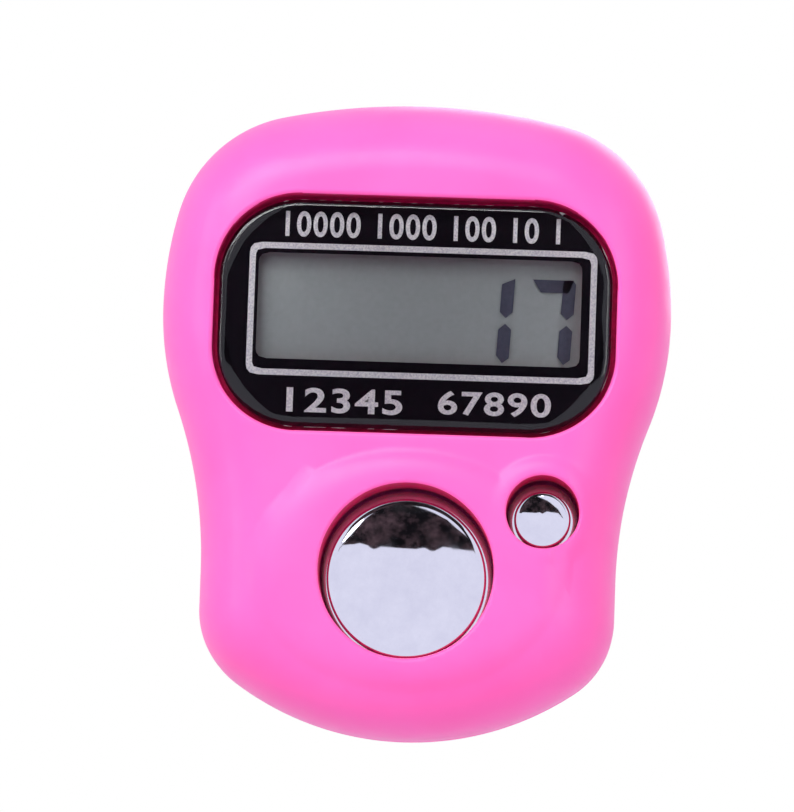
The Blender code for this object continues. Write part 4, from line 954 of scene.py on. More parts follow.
def lug(x, z):
    """An ear that holds one end of a band half's barrel, with a rounded end and softened edges."""
    half = LUG_THICKNESS / 2
    soft = 0.2 * MM
    outlines = []
    for inset, level in ((soft, -half), (0.0, soft - half), (0.0, half - soft), (soft, half)):
        radius = LUG_RADIUS - inset
        turns = [math.pi * n / 24 for n in range(25)]
        ring = [
            Vector((x + radius * math.cos(turn), PIVOT_Y + radius * math.sin(turn), z + level))
            for turn in turns
        ]
        ring.append(Vector((x - radius, BACK_Y - WALL, z + level)))
        ring.append(Vector((x + radius, BACK_Y - WALL, z + level)))
        outlines.append(ring)
    return lofted(outlines)


def make_back_shell():
    """The moulded back half: flat finger seat, battery bay, screw wells and the band's lugs."""
    rings = [outline(SEAM_ROUND, BACK_RIM_Y)]
    rings.append(outline(SEAM_ROUND * SEAM_SHARE, BACK_RIM_Y + SEAM_ROUND * SEAM_SHARE))
    rings.append(outline(0.0, BACK_RIM_Y + SEAM_ROUND))
    rings.append(outline(0.0, BACK_RIM_Y + BACK_BAND))
    for n in range(1, 17):
        distance = BACK_EDGE_INSET * (n / 16) ** 1.6
        rings.append(outline(distance, back_skin(distance)))
    edge = rings[-1]

    def doorway(growth, y):
        half_width, half_height = DOOR_HALF_WIDTH + growth, DOOR_HALF_HEIGHT + growth
        return rounded_rectangle(edge, half_width, half_height, DOOR_RADIUS + growth, DOOR_Z, y)

    soft, middle = DOOR_SOFT_EDGE, DOOR_SOFT_EDGE * SEAM_SHARE
    rings.append(doorway(DOOR_GAP + soft, BACK_Y))
    rings.append(doorway(DOOR_GAP + middle, BACK_Y - middle))
    rings.append(doorway(DOOR_GAP, BACK_Y - soft))
    rings.append(doorway(DOOR_GAP, DOOR_Y - SEAT_PLAY))
    rings.append(doorway(-DOOR_SEAT_WIDTH, DOOR_Y - SEAT_PLAY))
    rings.append(doorway(-DOOR_SEAT_WIDTH, DOOR_Y - DOOR_SEAT_THICKNESS))
    rings.append(doorway(DOOR_GAP + DOOR_SEAT_WIDTH, DOOR_Y - DOOR_SEAT_THICKNESS))
    rings.append(outline(BACK_EDGE_INSET, BACK_Y - WALL))
    for n in range(1, 9):
        share = 1 - n / 8
        distance = WALL + (BACK_EDGE_INSET - WALL) * share
        depth = (1 - (1 - share) ** BACK_EDGE_POWER) ** (1 / BACK_EDGE_POWER)
        start = BACK_RIM_Y + BACK_BAND
        rings.append(outline(distance, start + (BACK_Y - WALL - start) * depth))
    rings.append(outline(WALL, BACK_RIM_Y))
    piece = to_object("back_shell_skin", lofted(rings, closed=True))
    solids, cuts = [], []
    for x, z in CASE_SCREWS.values():
        solids.append(rod(x, z, BOSS_RADIUS, BACK_RIM_Y + 0.01 * MM, BACK_Y - WALL / 2))
        seat = CASE_SCREW_SEAT_Y - SEAT_PLAY
        cuts.append(rod(x, z, CASE_SCREW_HEAD + FIT_GAP, seat, BACK_Y + WELL_OVERSHOOT, 64))
        cuts.append(rod(x, z, CASE_SCREW_SHAFT + THREAD_GAP, PARTING_Y, BACK_Y))
    for side in (-1, 1):
        for level in (-1, 1):
            solids.append(lug(side * PIVOT_X, level * LUG_Z))
        half = LUG_Z + LUG_THICKNESS
        radius = TRUNNION_RADIUS + FIT_GAP
        profile = [(0.0, -half), (radius, -half), (radius, half), (0.0, half)]
        upright = Matrix.Rotation(math.radians(90), 4, "X")
        cuts.append(turned(profile, 48, (side * PIVOT_X, PIVOT_Y, 0.0), upright))
    combine(piece, "UNION", solids)
    combine(piece, "DIFFERENCE", cuts)
    dress(piece, PINK, "root", ["back_shell"])
    evened = piece.modifiers.new("even_shading", "WEIGHTED_NORMAL")
    evened.keep_sharp = True


def make_battery_door():
    """The door's plate with its hooked tab and the well for its screw."""
    rays = outline(BACK_EDGE_INSET, BACK_Y)
    soft, middle = DOOR_SOFT_EDGE, DOOR_SOFT_EDGE * SEAM_SHARE

    def plate(growth, y):
        half_width, half_height = DOOR_HALF_WIDTH + growth, DOOR_HALF_HEIGHT + growth
        return rounded_rectangle(rays, half_width, half_height, DOOR_RADIUS + growth, DOOR_Z, y)

    rings = [plate(0.0, DOOR_Y), plate(0.0, BACK_Y - soft)]
    rings.append(plate(-middle, BACK_Y - middle))
    rings.append(plate(-soft, BACK_Y))
    piece = to_object("battery_door_plate", lofted(rings))
    bottom = DOOR_Z - DOOR_HALF_HEIGHT
    tab = box(
        (-DOOR_TAB_HALF_WIDTH, DOOR_Y - DOOR_TAB_THICKNESS, bottom - DOOR_TAB_REACH),
        (DOOR_TAB_HALF_WIDTH, DOOR_Y + SEAT_PLAY, bottom + DOOR_TAB_REACH),
    )
    combine(piece, "UNION", [tab])
    head = DOOR_SCREW_HEAD + DOOR_GAP
    cuts = [
        rod(0.0, DOOR_SCREW_Z, head, DOOR_SCREW_SEAT_Y, BACK_Y + WELL_OVERSHOOT, 64),
        rod(0.0, DOOR_SCREW_Z, POST_HOLE, DOOR_Y - WELL_OVERSHOOT, BACK_Y),
    ]
    combine(piece, "DIFFERENCE", cuts)
    dress(piece, PINK, "root", ["battery_door"])
    evened = piece.modifiers.new("even_shading", "WEIGHTED_NORMAL")
    evened.keep_sharp = True


def make_screw(name, x, z, seat_y, head, height, shaft, length):
    """A pan head screw: a crowned head with a cross recess, and a thread drawn as rings."""
    profile = [(0.0, seat_y + height)]
    for step in range(1, 9):
        turn = math.radians(11 * step)
        profile.append((head * math.sin(turn), seat_y + height * (0.3 + 0.7 * math.cos(turn))))
    profile += [(head, seat_y + 0.25 * height), (head, seat_y), (shaft, seat_y)]
    turns = int((length - 2 * shaft) / SCREW_PITCH)
    for n in range(turns):
        level = seat_y - 0.2 * MM - n * SCREW_PITCH
        profile.append((0.78 * shaft, level))
        profile.append((shaft, level - 0.5 * SCREW_PITCH))
    profile += [(0.6 * shaft, seat_y - length + 0.9 * shaft), (0.0, seat_y - length)]
    piece = to_object(f"{name}_turned", turned(profile, 48, (x, 0.0, z)))
    arm, half = 0.55 * head, 0.14 * head
    floor, top = seat_y + 0.35 * height, seat_y + 2 * height
    slots = [
        box((x - across, floor, z - up), (x + across, top, z + up))
        for across, up in ((arm, half), (half, arm))
    ]
    combine(piece, "DIFFERENCE", slots)
    dress(piece, ZINC_STEEL, "root", [name])


# Display window

LENS_BACK_EDGE = 0.05 * MM
LENS_POINTS = 240
APERTURE_HALF_WIDTH = 10.05 * MM
APERTURE_HALF_HEIGHT = 3.32 * MM
APERTURE_RADIUS = 0.55 * MM
APERTURE_SHIFT_X = -0.17 * MM  # the clear middle isn't quite in the middle of its silver line
APERTURE_SHIFT_Z = 0.2 * MM
BLACK_INK_HALF = 0.02 * MM  # printed ink is thinner, but this much shows at a render's scale
SILVER_INK_THICKNESS = 0.04 * MM
SILVER_HALF_WIDTH = 10.8 * MM
SILVER_HALF_HEIGHT = 4.15 * MM
SILVER_RADIUS = 0.6 * MM
SILVER_LINE = 0.38 * MM
NUMBERS = {  # text, (x, z) of its middle, width and height
    "window_numbers_places": ("10000 1000 100 10 1", (0.3, 11.65), (17.1, 1.6)),
    "window_numbers_count": ("12345", (-4.2, 0.65), (7.2, 1.55)),
    "window_numbers_reset": ("67890", (5.1, 0.75), (7.0, 1.5)),
}


def lens_front(x, z):
    """The y of the lens's front: a slow crown, and a narrow rounded edge."""
    across = max(abs(x) - (WINDOW_HALF_WIDTH - WINDOW_RADIUS), 0.0)
    up = max(abs(z - WINDOW_Z) - (WINDOW_HALF_HEIGHT - WINDOW_RADIUS), 0.0)
    distance = WINDOW_RADIUS - math.hypot(across, up)
    share = min(max(1 - distance / LENS_ROUND, 0.0), 1.0)
    edge = LENS_ROUND * (1 - math.sqrt(1 - share**2))
    slow = (1 - (x / WINDOW_HALF_WIDTH) ** 2) * (1 - ((z - WINDOW_Z) / WINDOW_HALF_HEIGHT) ** 2)
    crown = (WINDOW_CROWN - LENS_ROUND) * max(slow, 0.0)
    return WINDOW_BACK_Y - WINDOW_EDGE_THICKNESS - LENS_ROUND + edge - crown


def make_window():
    """The lens, the black print behind it, and the silver frame and numbers in that print."""
    turns = [math.tau * n / LENS_POINTS for n in range(LENS_POINTS)]
    rays = [Vector((math.sin(turn), 0.0, WINDOW_Z + math.cos(turn))) for turn in turns]

    def plate(growth, y):
        half_width, half_height = WINDOW_HALF_WIDTH + growth, WINDOW_HALF_HEIGHT + growth
        return rounded_rectangle(rays, half_width, half_height, WINDOW_RADIUS + growth, WINDOW_Z, y)

    rings = [plate(-LENS_BACK_EDGE, WINDOW_BACK_Y), plate(0.0, WINDOW_BACK_Y - LENS_BACK_EDGE)]
    for n in range(9):
        ring = plate(-LENS_ROUND * (n / 8) ** 1.8, 0.0)
        for point in ring:
            point.y = lens_front(point.x, point.z)
        rings.append(ring)
    inner = rings[-1]
    for n in range(1, 25):
        ring = []
        for point in inner:
            scale = 1 - 0.97 * n / 24
            x, z = point.x * scale, WINDOW_Z + (point.z - WINDOW_Z) * scale
            ring.append(Vector((x, lens_front(x, z), z)))
        rings.append(ring)
    lens = to_object("window_lens", lofted(rings))
    dress(lens, ACRYLIC, "root", ["display_window"], 40.0)
    aperture = (APERTURE_HALF_WIDTH, APERTURE_HALF_HEIGHT, APERTURE_RADIUS)
    front, back = WINDOW_BACK_Y - BLACK_INK_HALF, WINDOW_BACK_Y + BLACK_INK_HALF
    hole = {}
    for y in (front, back):
        hole[y] = rounded_rectangle(rays, *aperture, PRINT_Z + APERTURE_SHIFT_Z, y)
        for point in hole[y]:
            point.x += PRINT_X + APERTURE_SHIFT_X
    rings = [plate(-LENS_BACK_EDGE, front), hole[front], hole[back], plate(-LENS_BACK_EDGE, back)]
    backing = to_object("window_black_print", lofted(rings, closed=True))
    dress(backing, BLACK_INK, "root")
    front, back = WINDOW_BACK_Y - SILVER_INK_THICKNESS, WINDOW_BACK_Y
    line = SILVER_LINE
    outer = (SILVER_HALF_WIDTH, SILVER_HALF_HEIGHT, SILVER_RADIUS, PRINT_Z)
    inner = (outer[0] - line, outer[1] - line, outer[2] - 0.6 * line, PRINT_Z)
    rings = [
        rounded_rectangle(rays, *size, y)
        for size, y in ((outer, front), (inner, front), (inner, back), (outer, back))
    ]
    for ring in rings:
        for point in ring:
            point.x += PRINT_X
    silver = to_object("window_silver_line", lofted(rings, closed=True))
    dress(silver, SILVER_INK, "root")
    for name, (text, place, size) in NUMBERS.items():
        make_numbers(name, text, place, size)


def make_numbers(name, text, place, size):
    """A row of plain printed numbers. Its place and its width and height are in mm."""
    curve = bpy.data.curves.new(name, "FONT")
    curve.body = text
    curve.extrude = 0.5
    curve.offset = 0.022
    curve.space_character = 1.12
    helper = bpy.data.objects.new(f"{name}_text", curve)
    bpy.context.scene.collection.objects.link(helper)
    bpy.context.view_layer.update()
    drawn_text = helper.evaluated_get(bpy.context.evaluated_depsgraph_get())
    mesh = bpy.data.meshes.new_from_object(drawn_text)
    bpy.data.objects.remove(helper)
    bm = bmesh.new()
    bm.from_mesh(mesh)
    bmesh.ops.remove_doubles(bm, verts=bm.verts, dist=1e-5)
    low = Vector([min(vert.co[axis] for vert in bm.verts) for axis in range(3)])
    high = Vector([max(vert.co[axis] for vert in bm.verts) for axis in range(3)])
    drawn, middle = high - low, (low + high) / 2
    share = (size[0] * MM / drawn.x, size[1] * MM / drawn.y, SILVER_INK_THICKNESS / drawn.z)
    bmesh.ops.translate(bm, vec=-middle, verts=bm.verts)
    bmesh.ops.scale(bm, vec=share, verts=bm.verts)
    upright = Matrix.Rotation(math.radians(90), 3, "X")
    bmesh.ops.rotate(bm, cent=(0, 0, 0), matrix=upright, verts=bm.verts)
    seat = (place[0] * MM, WINDOW_BACK_Y - SILVER_INK_THICKNESS / 2, place[1] * MM)
    bmesh.ops.translate(bm, vec=seat, verts=bm.verts)
    bmesh.ops.recalc_face_normals(bm, faces=bm.faces)
    dress(to_object(name, bm), SILVER_INK, "root")


DIGIT_HEIGHT = 5.3 * MM
DIGIT_WIDTH = 2.7 * MM
DIGIT_BAR = 0.8 * MM
DIGIT_GAP = 0.36 * MM
DIGIT_PITCH = 3.8 * MM
DIGIT_SLANT = math.radians(3)
DIGITS_RIGHT_X = 9.8 * MM
DIGITS_Z = 6.1 * MM
DIGITS_Y = -18.57 * MM  # just in front of the display's film
DIGIT_THICKNESS = 0.02 * MM


def make_segments():
    """The digits 1 and 7 on the display, as thin dark bars just in front of the pale film."""
    half, bar, point, gap = DIGIT_HEIGHT / 2, DIGIT_BAR, 0.45 * DIGIT_BAR, DIGIT_GAP / 2
    lower = ((-bar, -gap - point), (-0.5 * bar, -gap), (0, -gap - point), (0, 0.4 * bar - half))
    lower = (*lower, (-0.5 * bar, -half), (-bar, 0.6 * bar - half))
    top = ((-DIGIT_WIDTH, half), (0.7 * bar - DIGIT_WIDTH, half - bar), (-0.5 * bar, half - bar))
    top = (*top, (-0.2 * bar, half))
    upper = ((-bar, gap + point), (-0.5 * bar, gap), (0, gap + point), (0, half - 0.3 * bar))
    upper_one = (*upper[:3], (0, half), (-bar, half - point))
    upper = (*upper, (-0.25 * bar, half), (-bar, half))
    bm = bmesh.new()
    for digit_x, bars in ((-DIGIT_PITCH, (upper_one, lower)), (0.0, (top, upper, lower))):
        for corners in bars:
            bm.faces.new([bm.verts.new((digit_x + across, 0.0, up)) for across, up in corners])
    for vert in bm.verts:
        vert.co.x += DIGITS_RIGHT_X + vert.co.z * math.tan(DIGIT_SLANT)
        vert.co.y = DIGITS_Y
        vert.co.z += DIGITS_Z
    raised = bmesh.ops.extrude_face_region(bm, geom=list(bm.faces))["geom"]
    verts = [item for item in raised if isinstance(item, bmesh.types.BMVert)]
    bmesh.ops.translate(bm, vec=(0.0, DIGIT_THICKNESS, 0.0), verts=verts)
    bmesh.ops.recalc_face_normals(bm, faces=bm.faces)
    dress(to_object("display_digits", bm), SEGMENT_FILM, "root")


# Buttons

CAP_ROLL = 0.2 * MM
FLANGE_SOFT_EDGE = 0.1 * MM


def make_button(name, x, z, radius, top_y, dome_height, flange_radius):
    """A chromed cap: a domed top that rolls over into its side, and the flange that keeps it in."""
    sphere = (radius**2 + dome_height**2) / (2 * dome_height)
    roll = CAP_ROLL
    last = math.asin(radius / sphere)
    profile = []
    for n in range(25):
        turn = last * n / 24 * (1 - roll / radius)
        profile.append((sphere * math.sin(turn), top_y + sphere * (1 - math.cos(turn))))
    rim_y = top_y + dome_height
    start = Vector(profile[-1])
    for n in range(1, 9):
        share = n / 8
        corner = Vector((radius, rim_y - 0.25 * roll))
        end = Vector((radius, rim_y + 0.6 * roll))
        point = start.lerp(corner, share).lerp(corner.lerp(end, share), share)
        profile.append((point.x, point.y))
    soft = FLANGE_SOFT_EDGE
    profile += [
        (radius, FLANGE_Y),
        (flange_radius - soft, FLANGE_Y),
        (flange_radius, FLANGE_Y + soft),
        (flange_radius, FLANGE_BACK_Y - soft),
        (flange_radius - soft, FLANGE_BACK_Y),
        (0.0, FLANGE_BACK_Y),
    ]
    piece = to_object(f"{name}_cap", turned(profile, 160, (x, 0.0, z - BUTTON_SAG)))
    dress(piece, CHROME, name, [name], 50.0)


# Finger band

BAND_SOFT_EDGE = 0.3 * MM
BARREL_SOFT_EDGE = 0.15 * MM
STUD_SOFT_EDGE = 0.15 * MM
STUD_HEAD_UNDERCUT = 0.1 * MM
HOLE_SOFT_EDGE = 0.12 * MM
HOLE_OVERSHOOT = 0.5 * MM  # how far a hole's cutter stands out of each side
TINY = 1e-10  # keeps a root from a number below zero


def band_path(side, radius, end_angle):
    """The middle line of a band half, from its pivot round the finger."""
    start_angle = math.pi if side < 0 else 0.0
    sweep = end_angle - start_angle
    count = 2 + int(abs(sweep) / math.radians(2.5))
    path = [Vector((side * PIVOT_X, PIVOT_Y, 0.0))]
    path.append(path[0].lerp(Vector((side * radius, 0.0, 0.0)), 0.45))
    for n in range(count + 1):
        turn = start_angle + sweep * n / count
        path.append(Vector((radius * math.cos(turn), radius * math.sin(turn), 0.0)))
    return path


def band_ribbon(side, radius, end_angle):
    """The flat band with softened edges, lofted along its path, with a rounded free end."""
    path = band_path(side, radius, end_angle)
    lengths = [0.0]
    for before, after in zip(path, path[1:]):
        lengths.append(lengths[-1] + (after - before).length)
    total = lengths[-1]
    half_width = STRAP_WIDTH / 2 - STRAP_EDGE
    rings = []
    samples = [total * n / 90 for n in range(78)]
    turns = [math.pi / 2 * n / 22 for n in range(4, 23)]
    samples += [total - BAND_END_RADIUS * (1 - math.sin(turn)) for turn in turns]
    samples = sorted(sample for sample in samples if sample <= total)
    for sample in samples:
        index = max(n for n, length in enumerate(lengths) if length <= sample + 1e-12)
        index = min(index, len(path) - 2)
        span = lengths[index + 1] - lengths[index]
        share = (sample - lengths[index]) / span
        place = path[index].lerp(path[index + 1], share)
        along = (path[index + 1] - path[index]).normalized()
        if index + 2 < len(path):
            ahead = (path[index + 2] - path[index + 1]).normalized()
            along = along.lerp(ahead, share).normalized()
        outward = Vector((along.y, -along.x, 0.0)) * side
        reach = total - sample
        width = half_width
        if reach < BAND_END_RADIUS:
            spare = BAND_END_RADIUS - reach
            round_end = math.sqrt(max(BAND_END_RADIUS**2 - spare**2, TINY))
            width = half_width - BAND_END_RADIUS + round_end
        half = STRAP_THICKNESS / 2
        soft = min(BAND_SOFT_EDGE, width * 0.4)
        ring = []
        for corner_w, corner_t, start in ((1, 1, 0), (-1, 1, 1), (-1, -1, 2), (1, -1, 3)):
            for n in range(5):
                turn = math.pi / 2 * (start + n / 4)
                across = corner_w * (width - soft) + soft * math.cos(turn)
                thick = corner_t * (half - soft) + soft * math.sin(turn)
                ring.append(place + outward * thick + Vector((0.0, 0.0, across)))
        rings.append(ring)
    return lofted(rings)


def make_band_half(name, side, radius, end_angle, joined=(), cuts=()):
    """The barrel with its end pins, the band and what stands on it or goes through it."""
    half = STRAP_WIDTH / 2
    pin_end = half + FIT_GAP + TRUNNION_LENGTH
    soft = BARREL_SOFT_EDGE
    profile = [
        (0.0, -pin_end),
        (TRUNNION_RADIUS - soft, -pin_end),
        (TRUNNION_RADIUS, soft - pin_end),
        (TRUNNION_RADIUS, -half),
        (BARREL_RADIUS - soft, -half),
        (BARREL_RADIUS, soft - half),
        (BARREL_RADIUS, half - soft),
        (BARREL_RADIUS - soft, half),
        (TRUNNION_RADIUS, half),
        (TRUNNION_RADIUS, pin_end - soft),
        (TRUNNION_RADIUS - soft, pin_end),
        (0.0, pin_end),
    ]
    upright = Matrix.Rotation(math.radians(90), 4, "X")
    barrel = turned(profile, 64, (side * PIVOT_X, PIVOT_Y, 0.0), upright)
    piece = to_object(f"{name}_band", band_ribbon(side, radius, end_angle))
    combine(piece, "UNION", [barrel, *joined])
    if cuts:
        combine(piece, "DIFFERENCE", list(cuts))
    dress(piece, BLACK_PVC, name, [name], 40.0)


def make_band():
    """Both halves: a stud on the inner one, and a row of holes in the outer one."""
    neck = HOLE_BAND_RADIUS + STRAP_THICKNESS / 2 + FIT_GAP
    profile = [(0.0, STUD_BAND_RADIUS), (STUD_RADIUS, STUD_BAND_RADIUS), (STUD_RADIUS, neck)]
    profile.append((STUD_HEAD_RADIUS - STUD_HEAD_UNDERCUT, neck))
    for n in range(9):
        turn = math.pi / 2 * n / 8
        profile.append(
            (
                STUD_HEAD_RADIUS * (0.25 + 0.75 * math.cos(turn)),
                neck + STUD_SOFT_EDGE + (STUD_HEAD_HEIGHT - STUD_SOFT_EDGE) * math.sin(turn),
            )
        )
    profile.append((0.0, neck + STUD_HEAD_HEIGHT))
    make_band_half("strap_stud_half", -1, STUD_BAND_RADIUS, STUD_HALF_END, [turned(profile, 48)])
    holes = []
    half = STRAP_THICKNESS / 2 + HOLE_OVERSHOOT
    flare = STRAP_THICKNESS / 2
    soft = HOLE_SOFT_EDGE
    hole = [
        (0.0, -half),
        (BAND_HOLE_RADIUS + soft + half - flare, -half),
        (BAND_HOLE_RADIUS + soft, -flare),
        (BAND_HOLE_RADIUS, soft - flare),
        (BAND_HOLE_RADIUS, flare - soft),
        (BAND_HOLE_RADIUS + soft, flare),
        (BAND_HOLE_RADIUS + soft + half - flare, half),
        (0.0, half),
    ]
    for number in range(HOLE_COUNT):
        angle = math.pi / 2 + (number - HOLES_BEFORE_STUD) * HOLE_SPACING
        place = (HOLE_BAND_RADIUS * math.cos(angle), HOLE_BAND_RADIUS * math.sin(angle), 0.0)
        turn = Matrix.Rotation(angle - math.pi / 2, 4, "Z")
        holes.append(turned(hole, 48, place, turn))
    make_band_half("strap_hole_half", 1, HOLE_BAND_RADIUS, HOLE_HALF_END, cuts=holes)


make_front_shell()
make_back_shell()
make_battery_door()
for screw_name, (screw_x, screw_z) in CASE_SCREWS.items():
    make_screw(
        screw_name,
        screw_x,
        screw_z,
        CASE_SCREW_SEAT_Y,
        CASE_SCREW_HEAD,
        CASE_SCREW_HEAD_HEIGHT,
        CASE_SCREW_SHAFT,
        CASE_SCREW_LENGTH,
    )
make_screw(
    "battery_door_screw",
    0.0,
    DOOR_SCREW_Z,
    DOOR_SCREW_SEAT_Y + SEAT_PLAY,
    DOOR_SCREW_HEAD,
    DOOR_SCREW_HEAD_HEIGHT,
    DOOR_SCREW_SHAFT,
    DOOR_SCREW_LENGTH,
)
make_window()
make_segments()
make_button(
    "count_button",
    0.0,
    COUNT_Z,
    COUNT_RADIUS,
    COUNT_TOP_Y,
    COUNT_DOME_HEIGHT,
    COUNT_BORE_RADIUS + FLANGE_STEP,
)
make_button(
    "reset_button",
    RESET_X,
    RESET_Z,
    RESET_RADIUS,
    RESET_TOP_Y,
    RESET_DOME_HEIGHT,
    RESET_BORE_RADIUS + FLANGE_STEP,
)
make_band()


# Studio

PICTURE_WIDTH = 812 * 0.063 * MM  # the view's longer side, 812 pixels of 0.063 mm
CAMERA_AZIMUTH = math.radians(1.5)
CAMERA_ELEVATION = math.radians(-6.5)
CAMERA_ROLL = math.radians(2.0)
CAMERA_DISTANCE = 350 * MM
SENSOR_WIDTH = 36.0
VIEW_MIDDLE_Y = -14.3 * MM
VIEW_SHIFT_RIGHT = -1.04 * MM
VIEW_SHIFT_UP = 1.13 * MM
FLOOR_Z = -46 * MM
FLOOR_SIZE = 1.5
LAMP_AIM = (0.0, -15 * MM, 0.0)
LONG_EDGE = 40 * MM
FAR_CARD_CORNERS = ((31, 3), (25, 13), (14, 22), (3, 27), (-5, 32), (-13, 27))
FAR_CARD_CORNERS += ((-21, 20), (-28, 12), (-34, 3), (-29, 10), (25, 9))
NEAR_CARD_CORNERS = ((8.8, -0.4), (12.4, 4.9), (12.7, 10.1), (8.4, 17))
NEAR_CARD_CORNERS += ((-7.3, 17), (-13.3, 9.3), (-13.4, 5.7), (-9.3, -0.4))
LAMPS = {  # place, width and height, power
    "lamp_front_left": ((-0.2, -0.46, 0.31), 0.5, 0.18, 2.3),
    "lamp_left": ((-0.5, -0.2, 0.1), 0.14, 0.4, 0.5),
    "lamp_right": ((0.42, -0.4, 0.02), 0.25, 0.4, 0.8),
    "lamp_window_glint": ((-0.14, -0.46, 0.17), 0.08, 0.14, 0.12),
    "lamp_overhead": ((0.0, -0.1, 0.6), 0.4, 0.4, 0.15),
    "lamp_rear": ((0.15, 0.5, 0.25), 0.35, 0.35, 0.8),
}
MIRRORED_COLOUR = linear("#E8E8F8")  # the white surroundings as metal and glass show them


def make_floor():
    """A wide pale floor, well below the counter, which hangs free as it does in the photograph."""
    bm = bmesh.new()
    bmesh.ops.create_grid(bm, x_segments=1, y_segments=1, size=FLOOR_SIZE)
    bmesh.ops.translate(bm, vec=(0.0, 0.0, FLOOR_Z), verts=bm.verts)
    floor = to_object("studio_floor", bm)
    made, tree, shader = surface("pale_paper", {"Roughness": 0.7})
    place = add(tree, "ShaderNodeTexCoord").outputs["Object"]
    fibres = add(
        tree,
        "ShaderNodeTexNoise",
        inputs={"Vector": place, "Scale": 1 / (3 * MM), "Detail": 3.0},
    )
    shades = [(0.3, linear("#D9DAE6")), (0.7, linear("#DDDEE9"))]
    factor = {"Fac": fibres.outputs["Fac"]}
    add(tree, "ShaderNodeValToRGB", inputs=factor, stops=shades, to=shader.inputs["Base Color"])
    mirrored = add(tree, "ShaderNodeEmission", inputs={"Color": MIRRORED_COLOUR, "Strength": 1.0})
    path = add(tree, "ShaderNodeLightPath")
    shown = {0: path.outputs["Is Glossy Ray"], 1: shader.outputs[0], 2: mirrored.outputs[0]}
    output = tree.nodes["Material Output"].inputs["Surface"]
    add(tree, "ShaderNodeMixShader", inputs=shown, to=output)
    floor.data.materials.append(made)


def dark_cloth(name, light, dark):
    """Dark cloth: dull, with paler folds that break up its mirror image."""
    made, tree, shader = surface(name, {"Roughness": 0.9, "Specular IOR Level": 0.1})
    place = add(tree, "ShaderNodeTexCoord").outputs["Object"]
    folds = add(
        tree,
        "ShaderNodeTexNoise",
        inputs={"Vector": place, "Scale": 1 / (7 * MM), "Detail": 6.0, "Roughness": 0.7},
    )
    shades = [(0.45, linear(dark)), (0.7, linear(light))]
    factor = {"Fac": folds.outputs["Fac"]}
    add(tree, "ShaderNodeValToRGB", inputs=factor, stops=shades, to=shader.inputs["Base Color"])
    return made


def make_card(name, distance, corners, ripple, finish):
    """A dark card in front of the counter that only reflections see. Its corners, in mm, are joined
    in turn by straight edges, and the long one among them is torn by the ripple."""
    bm = bmesh.new()
    outer = [Vector((x * MM, -distance, z * MM)) for x, z in corners]
    ring = []
    for n, corner in enumerate(outer):
        following = outer[(n + 1) % len(outer)]
        steps = 48 if (following - corner).length > LONG_EDGE else 1
        for step in range(steps):
            share = step / steps
            point = corner.lerp(following, share)
            torn = math.sin(17 * share) + 0.7 * math.sin(41 * share + 1)
            point.z += ripple * torn * math.sin(math.pi * share)
            ring.append(bm.verts.new(point))
    bm.faces.new(ring)
    bmesh.ops.triangulate(bm, faces=bm.faces)
    card = to_object(name, bm)
    card.data.materials.append(finish)
    card.visible_camera = False
    card.visible_diffuse = False
    card.visible_shadow = False


def make_lamp(name, place, width, height, power):
    """A soft box that faces the counter; place and size are in metres, power in watts."""
    light = bpy.data.lights.new(name, "AREA")
    light.shape = "RECTANGLE"
    light.size, light.size_y = width, height
    light.energy = power
    lamp = bpy.data.objects.new(name, light)
    bpy.context.scene.collection.objects.link(lamp)
    lamp.location = place
    lamp.visible_camera = False
    aim = Vector(LAMP_AIM) - Vector(place)
    lamp.rotation_euler = aim.to_track_quat("-Z", "Y").to_euler()


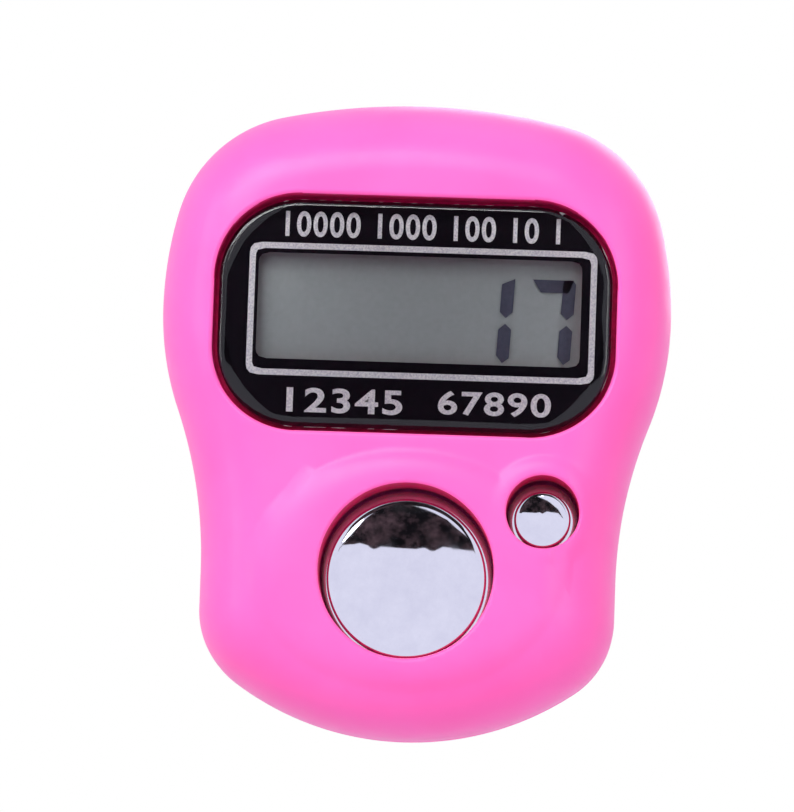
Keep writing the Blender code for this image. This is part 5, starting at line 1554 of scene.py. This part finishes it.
def make_world():
    """Even white surroundings that also give the white background."""
    world = bpy.data.worlds.new("white_surroundings")
    world.use_nodes = True
    tree = world.node_tree
    tree.nodes.clear()
    path = add(tree, "ShaderNodeLightPath")
    seen = add(
        tree,
        "ShaderNodeMath",
        {"operation": "MAXIMUM"},
        {0: path.outputs["Is Camera Ray"], 1: path.outputs["Is Transmission Ray"]},
    )
    lit = add(tree, "ShaderNodeBackground", inputs={"Color": linear("#FAF8FF"), "Strength": 0.72})
    mirrored = add(tree, "ShaderNodeBackground", inputs={"Color": MIRRORED_COLOUR, "Strength": 1.0})
    white = add(tree, "ShaderNodeBackground", inputs={"Color": grey(1.0), "Strength": 1.0})
    soft = add(
        tree,
        "ShaderNodeMixShader",
        inputs={0: path.outputs["Is Glossy Ray"], 1: lit.outputs[0], 2: mirrored.outputs[0]},
    )
    both = add(
        tree,
        "ShaderNodeMixShader",
        inputs={0: seen.outputs[0], 1: soft.outputs[0], 2: white.outputs[0]},
    )
    add(tree, "ShaderNodeOutputWorld", inputs={"Surface": both.outputs[0]})
    bpy.context.scene.world = world


def make_camera():
    """Slightly right of the display and below it, and rolled so that the counter leans right."""
    level = math.cos(CAMERA_ELEVATION)
    forward = Vector(
        (
            -math.sin(CAMERA_AZIMUTH) * level,
            math.cos(CAMERA_AZIMUTH) * level,
            -math.sin(CAMERA_ELEVATION),
        )
    )
    flat = forward.cross(Vector((0.0, 0.0, 1.0))).normalized()
    upright = flat.cross(forward)
    right = flat * math.cos(CAMERA_ROLL) + upright * math.sin(CAMERA_ROLL)
    up = upright * math.cos(CAMERA_ROLL) - flat * math.sin(CAMERA_ROLL)
    target = Vector((0.0, VIEW_MIDDLE_Y, 0.0)) + right * VIEW_SHIFT_RIGHT + up * VIEW_SHIFT_UP
    data = bpy.data.cameras.new("camera")
    data.sensor_width = SENSOR_WIDTH
    data.lens = SENSOR_WIDTH * CAMERA_DISTANCE / PICTURE_WIDTH
    data.clip_start, data.clip_end = 0.01, 10.0
    camera = bpy.data.objects.new("camera", data)
    bpy.context.scene.collection.objects.link(camera)
    turn = Matrix((right, up, -forward)).transposed().to_4x4()
    camera.matrix_world = Matrix.Translation(target - forward * CAMERA_DISTANCE) @ turn
    bpy.context.scene.camera = camera


make_floor()
BLACK_CLOTH = dark_cloth("black_cloth", "#5A484A", "#08070A")
GREY_CLOTH = dark_cloth("grey_cloth", "#6C6874", "#57535E")
make_card("studio_card_far", 100 * MM, FAR_CARD_CORNERS, 1.5 * MM, BLACK_CLOTH)
make_card("studio_card_near", 30 * MM, NEAR_CARD_CORNERS, 0.0, GREY_CLOTH)
for lamp_name, (lamp_place, lamp_width, lamp_height, lamp_power) in LAMPS.items():
    make_lamp(lamp_name, lamp_place, lamp_width, lamp_height, lamp_power)
make_world()
make_camera()
bpy.context.scene.view_settings.view_transform = "Standard"
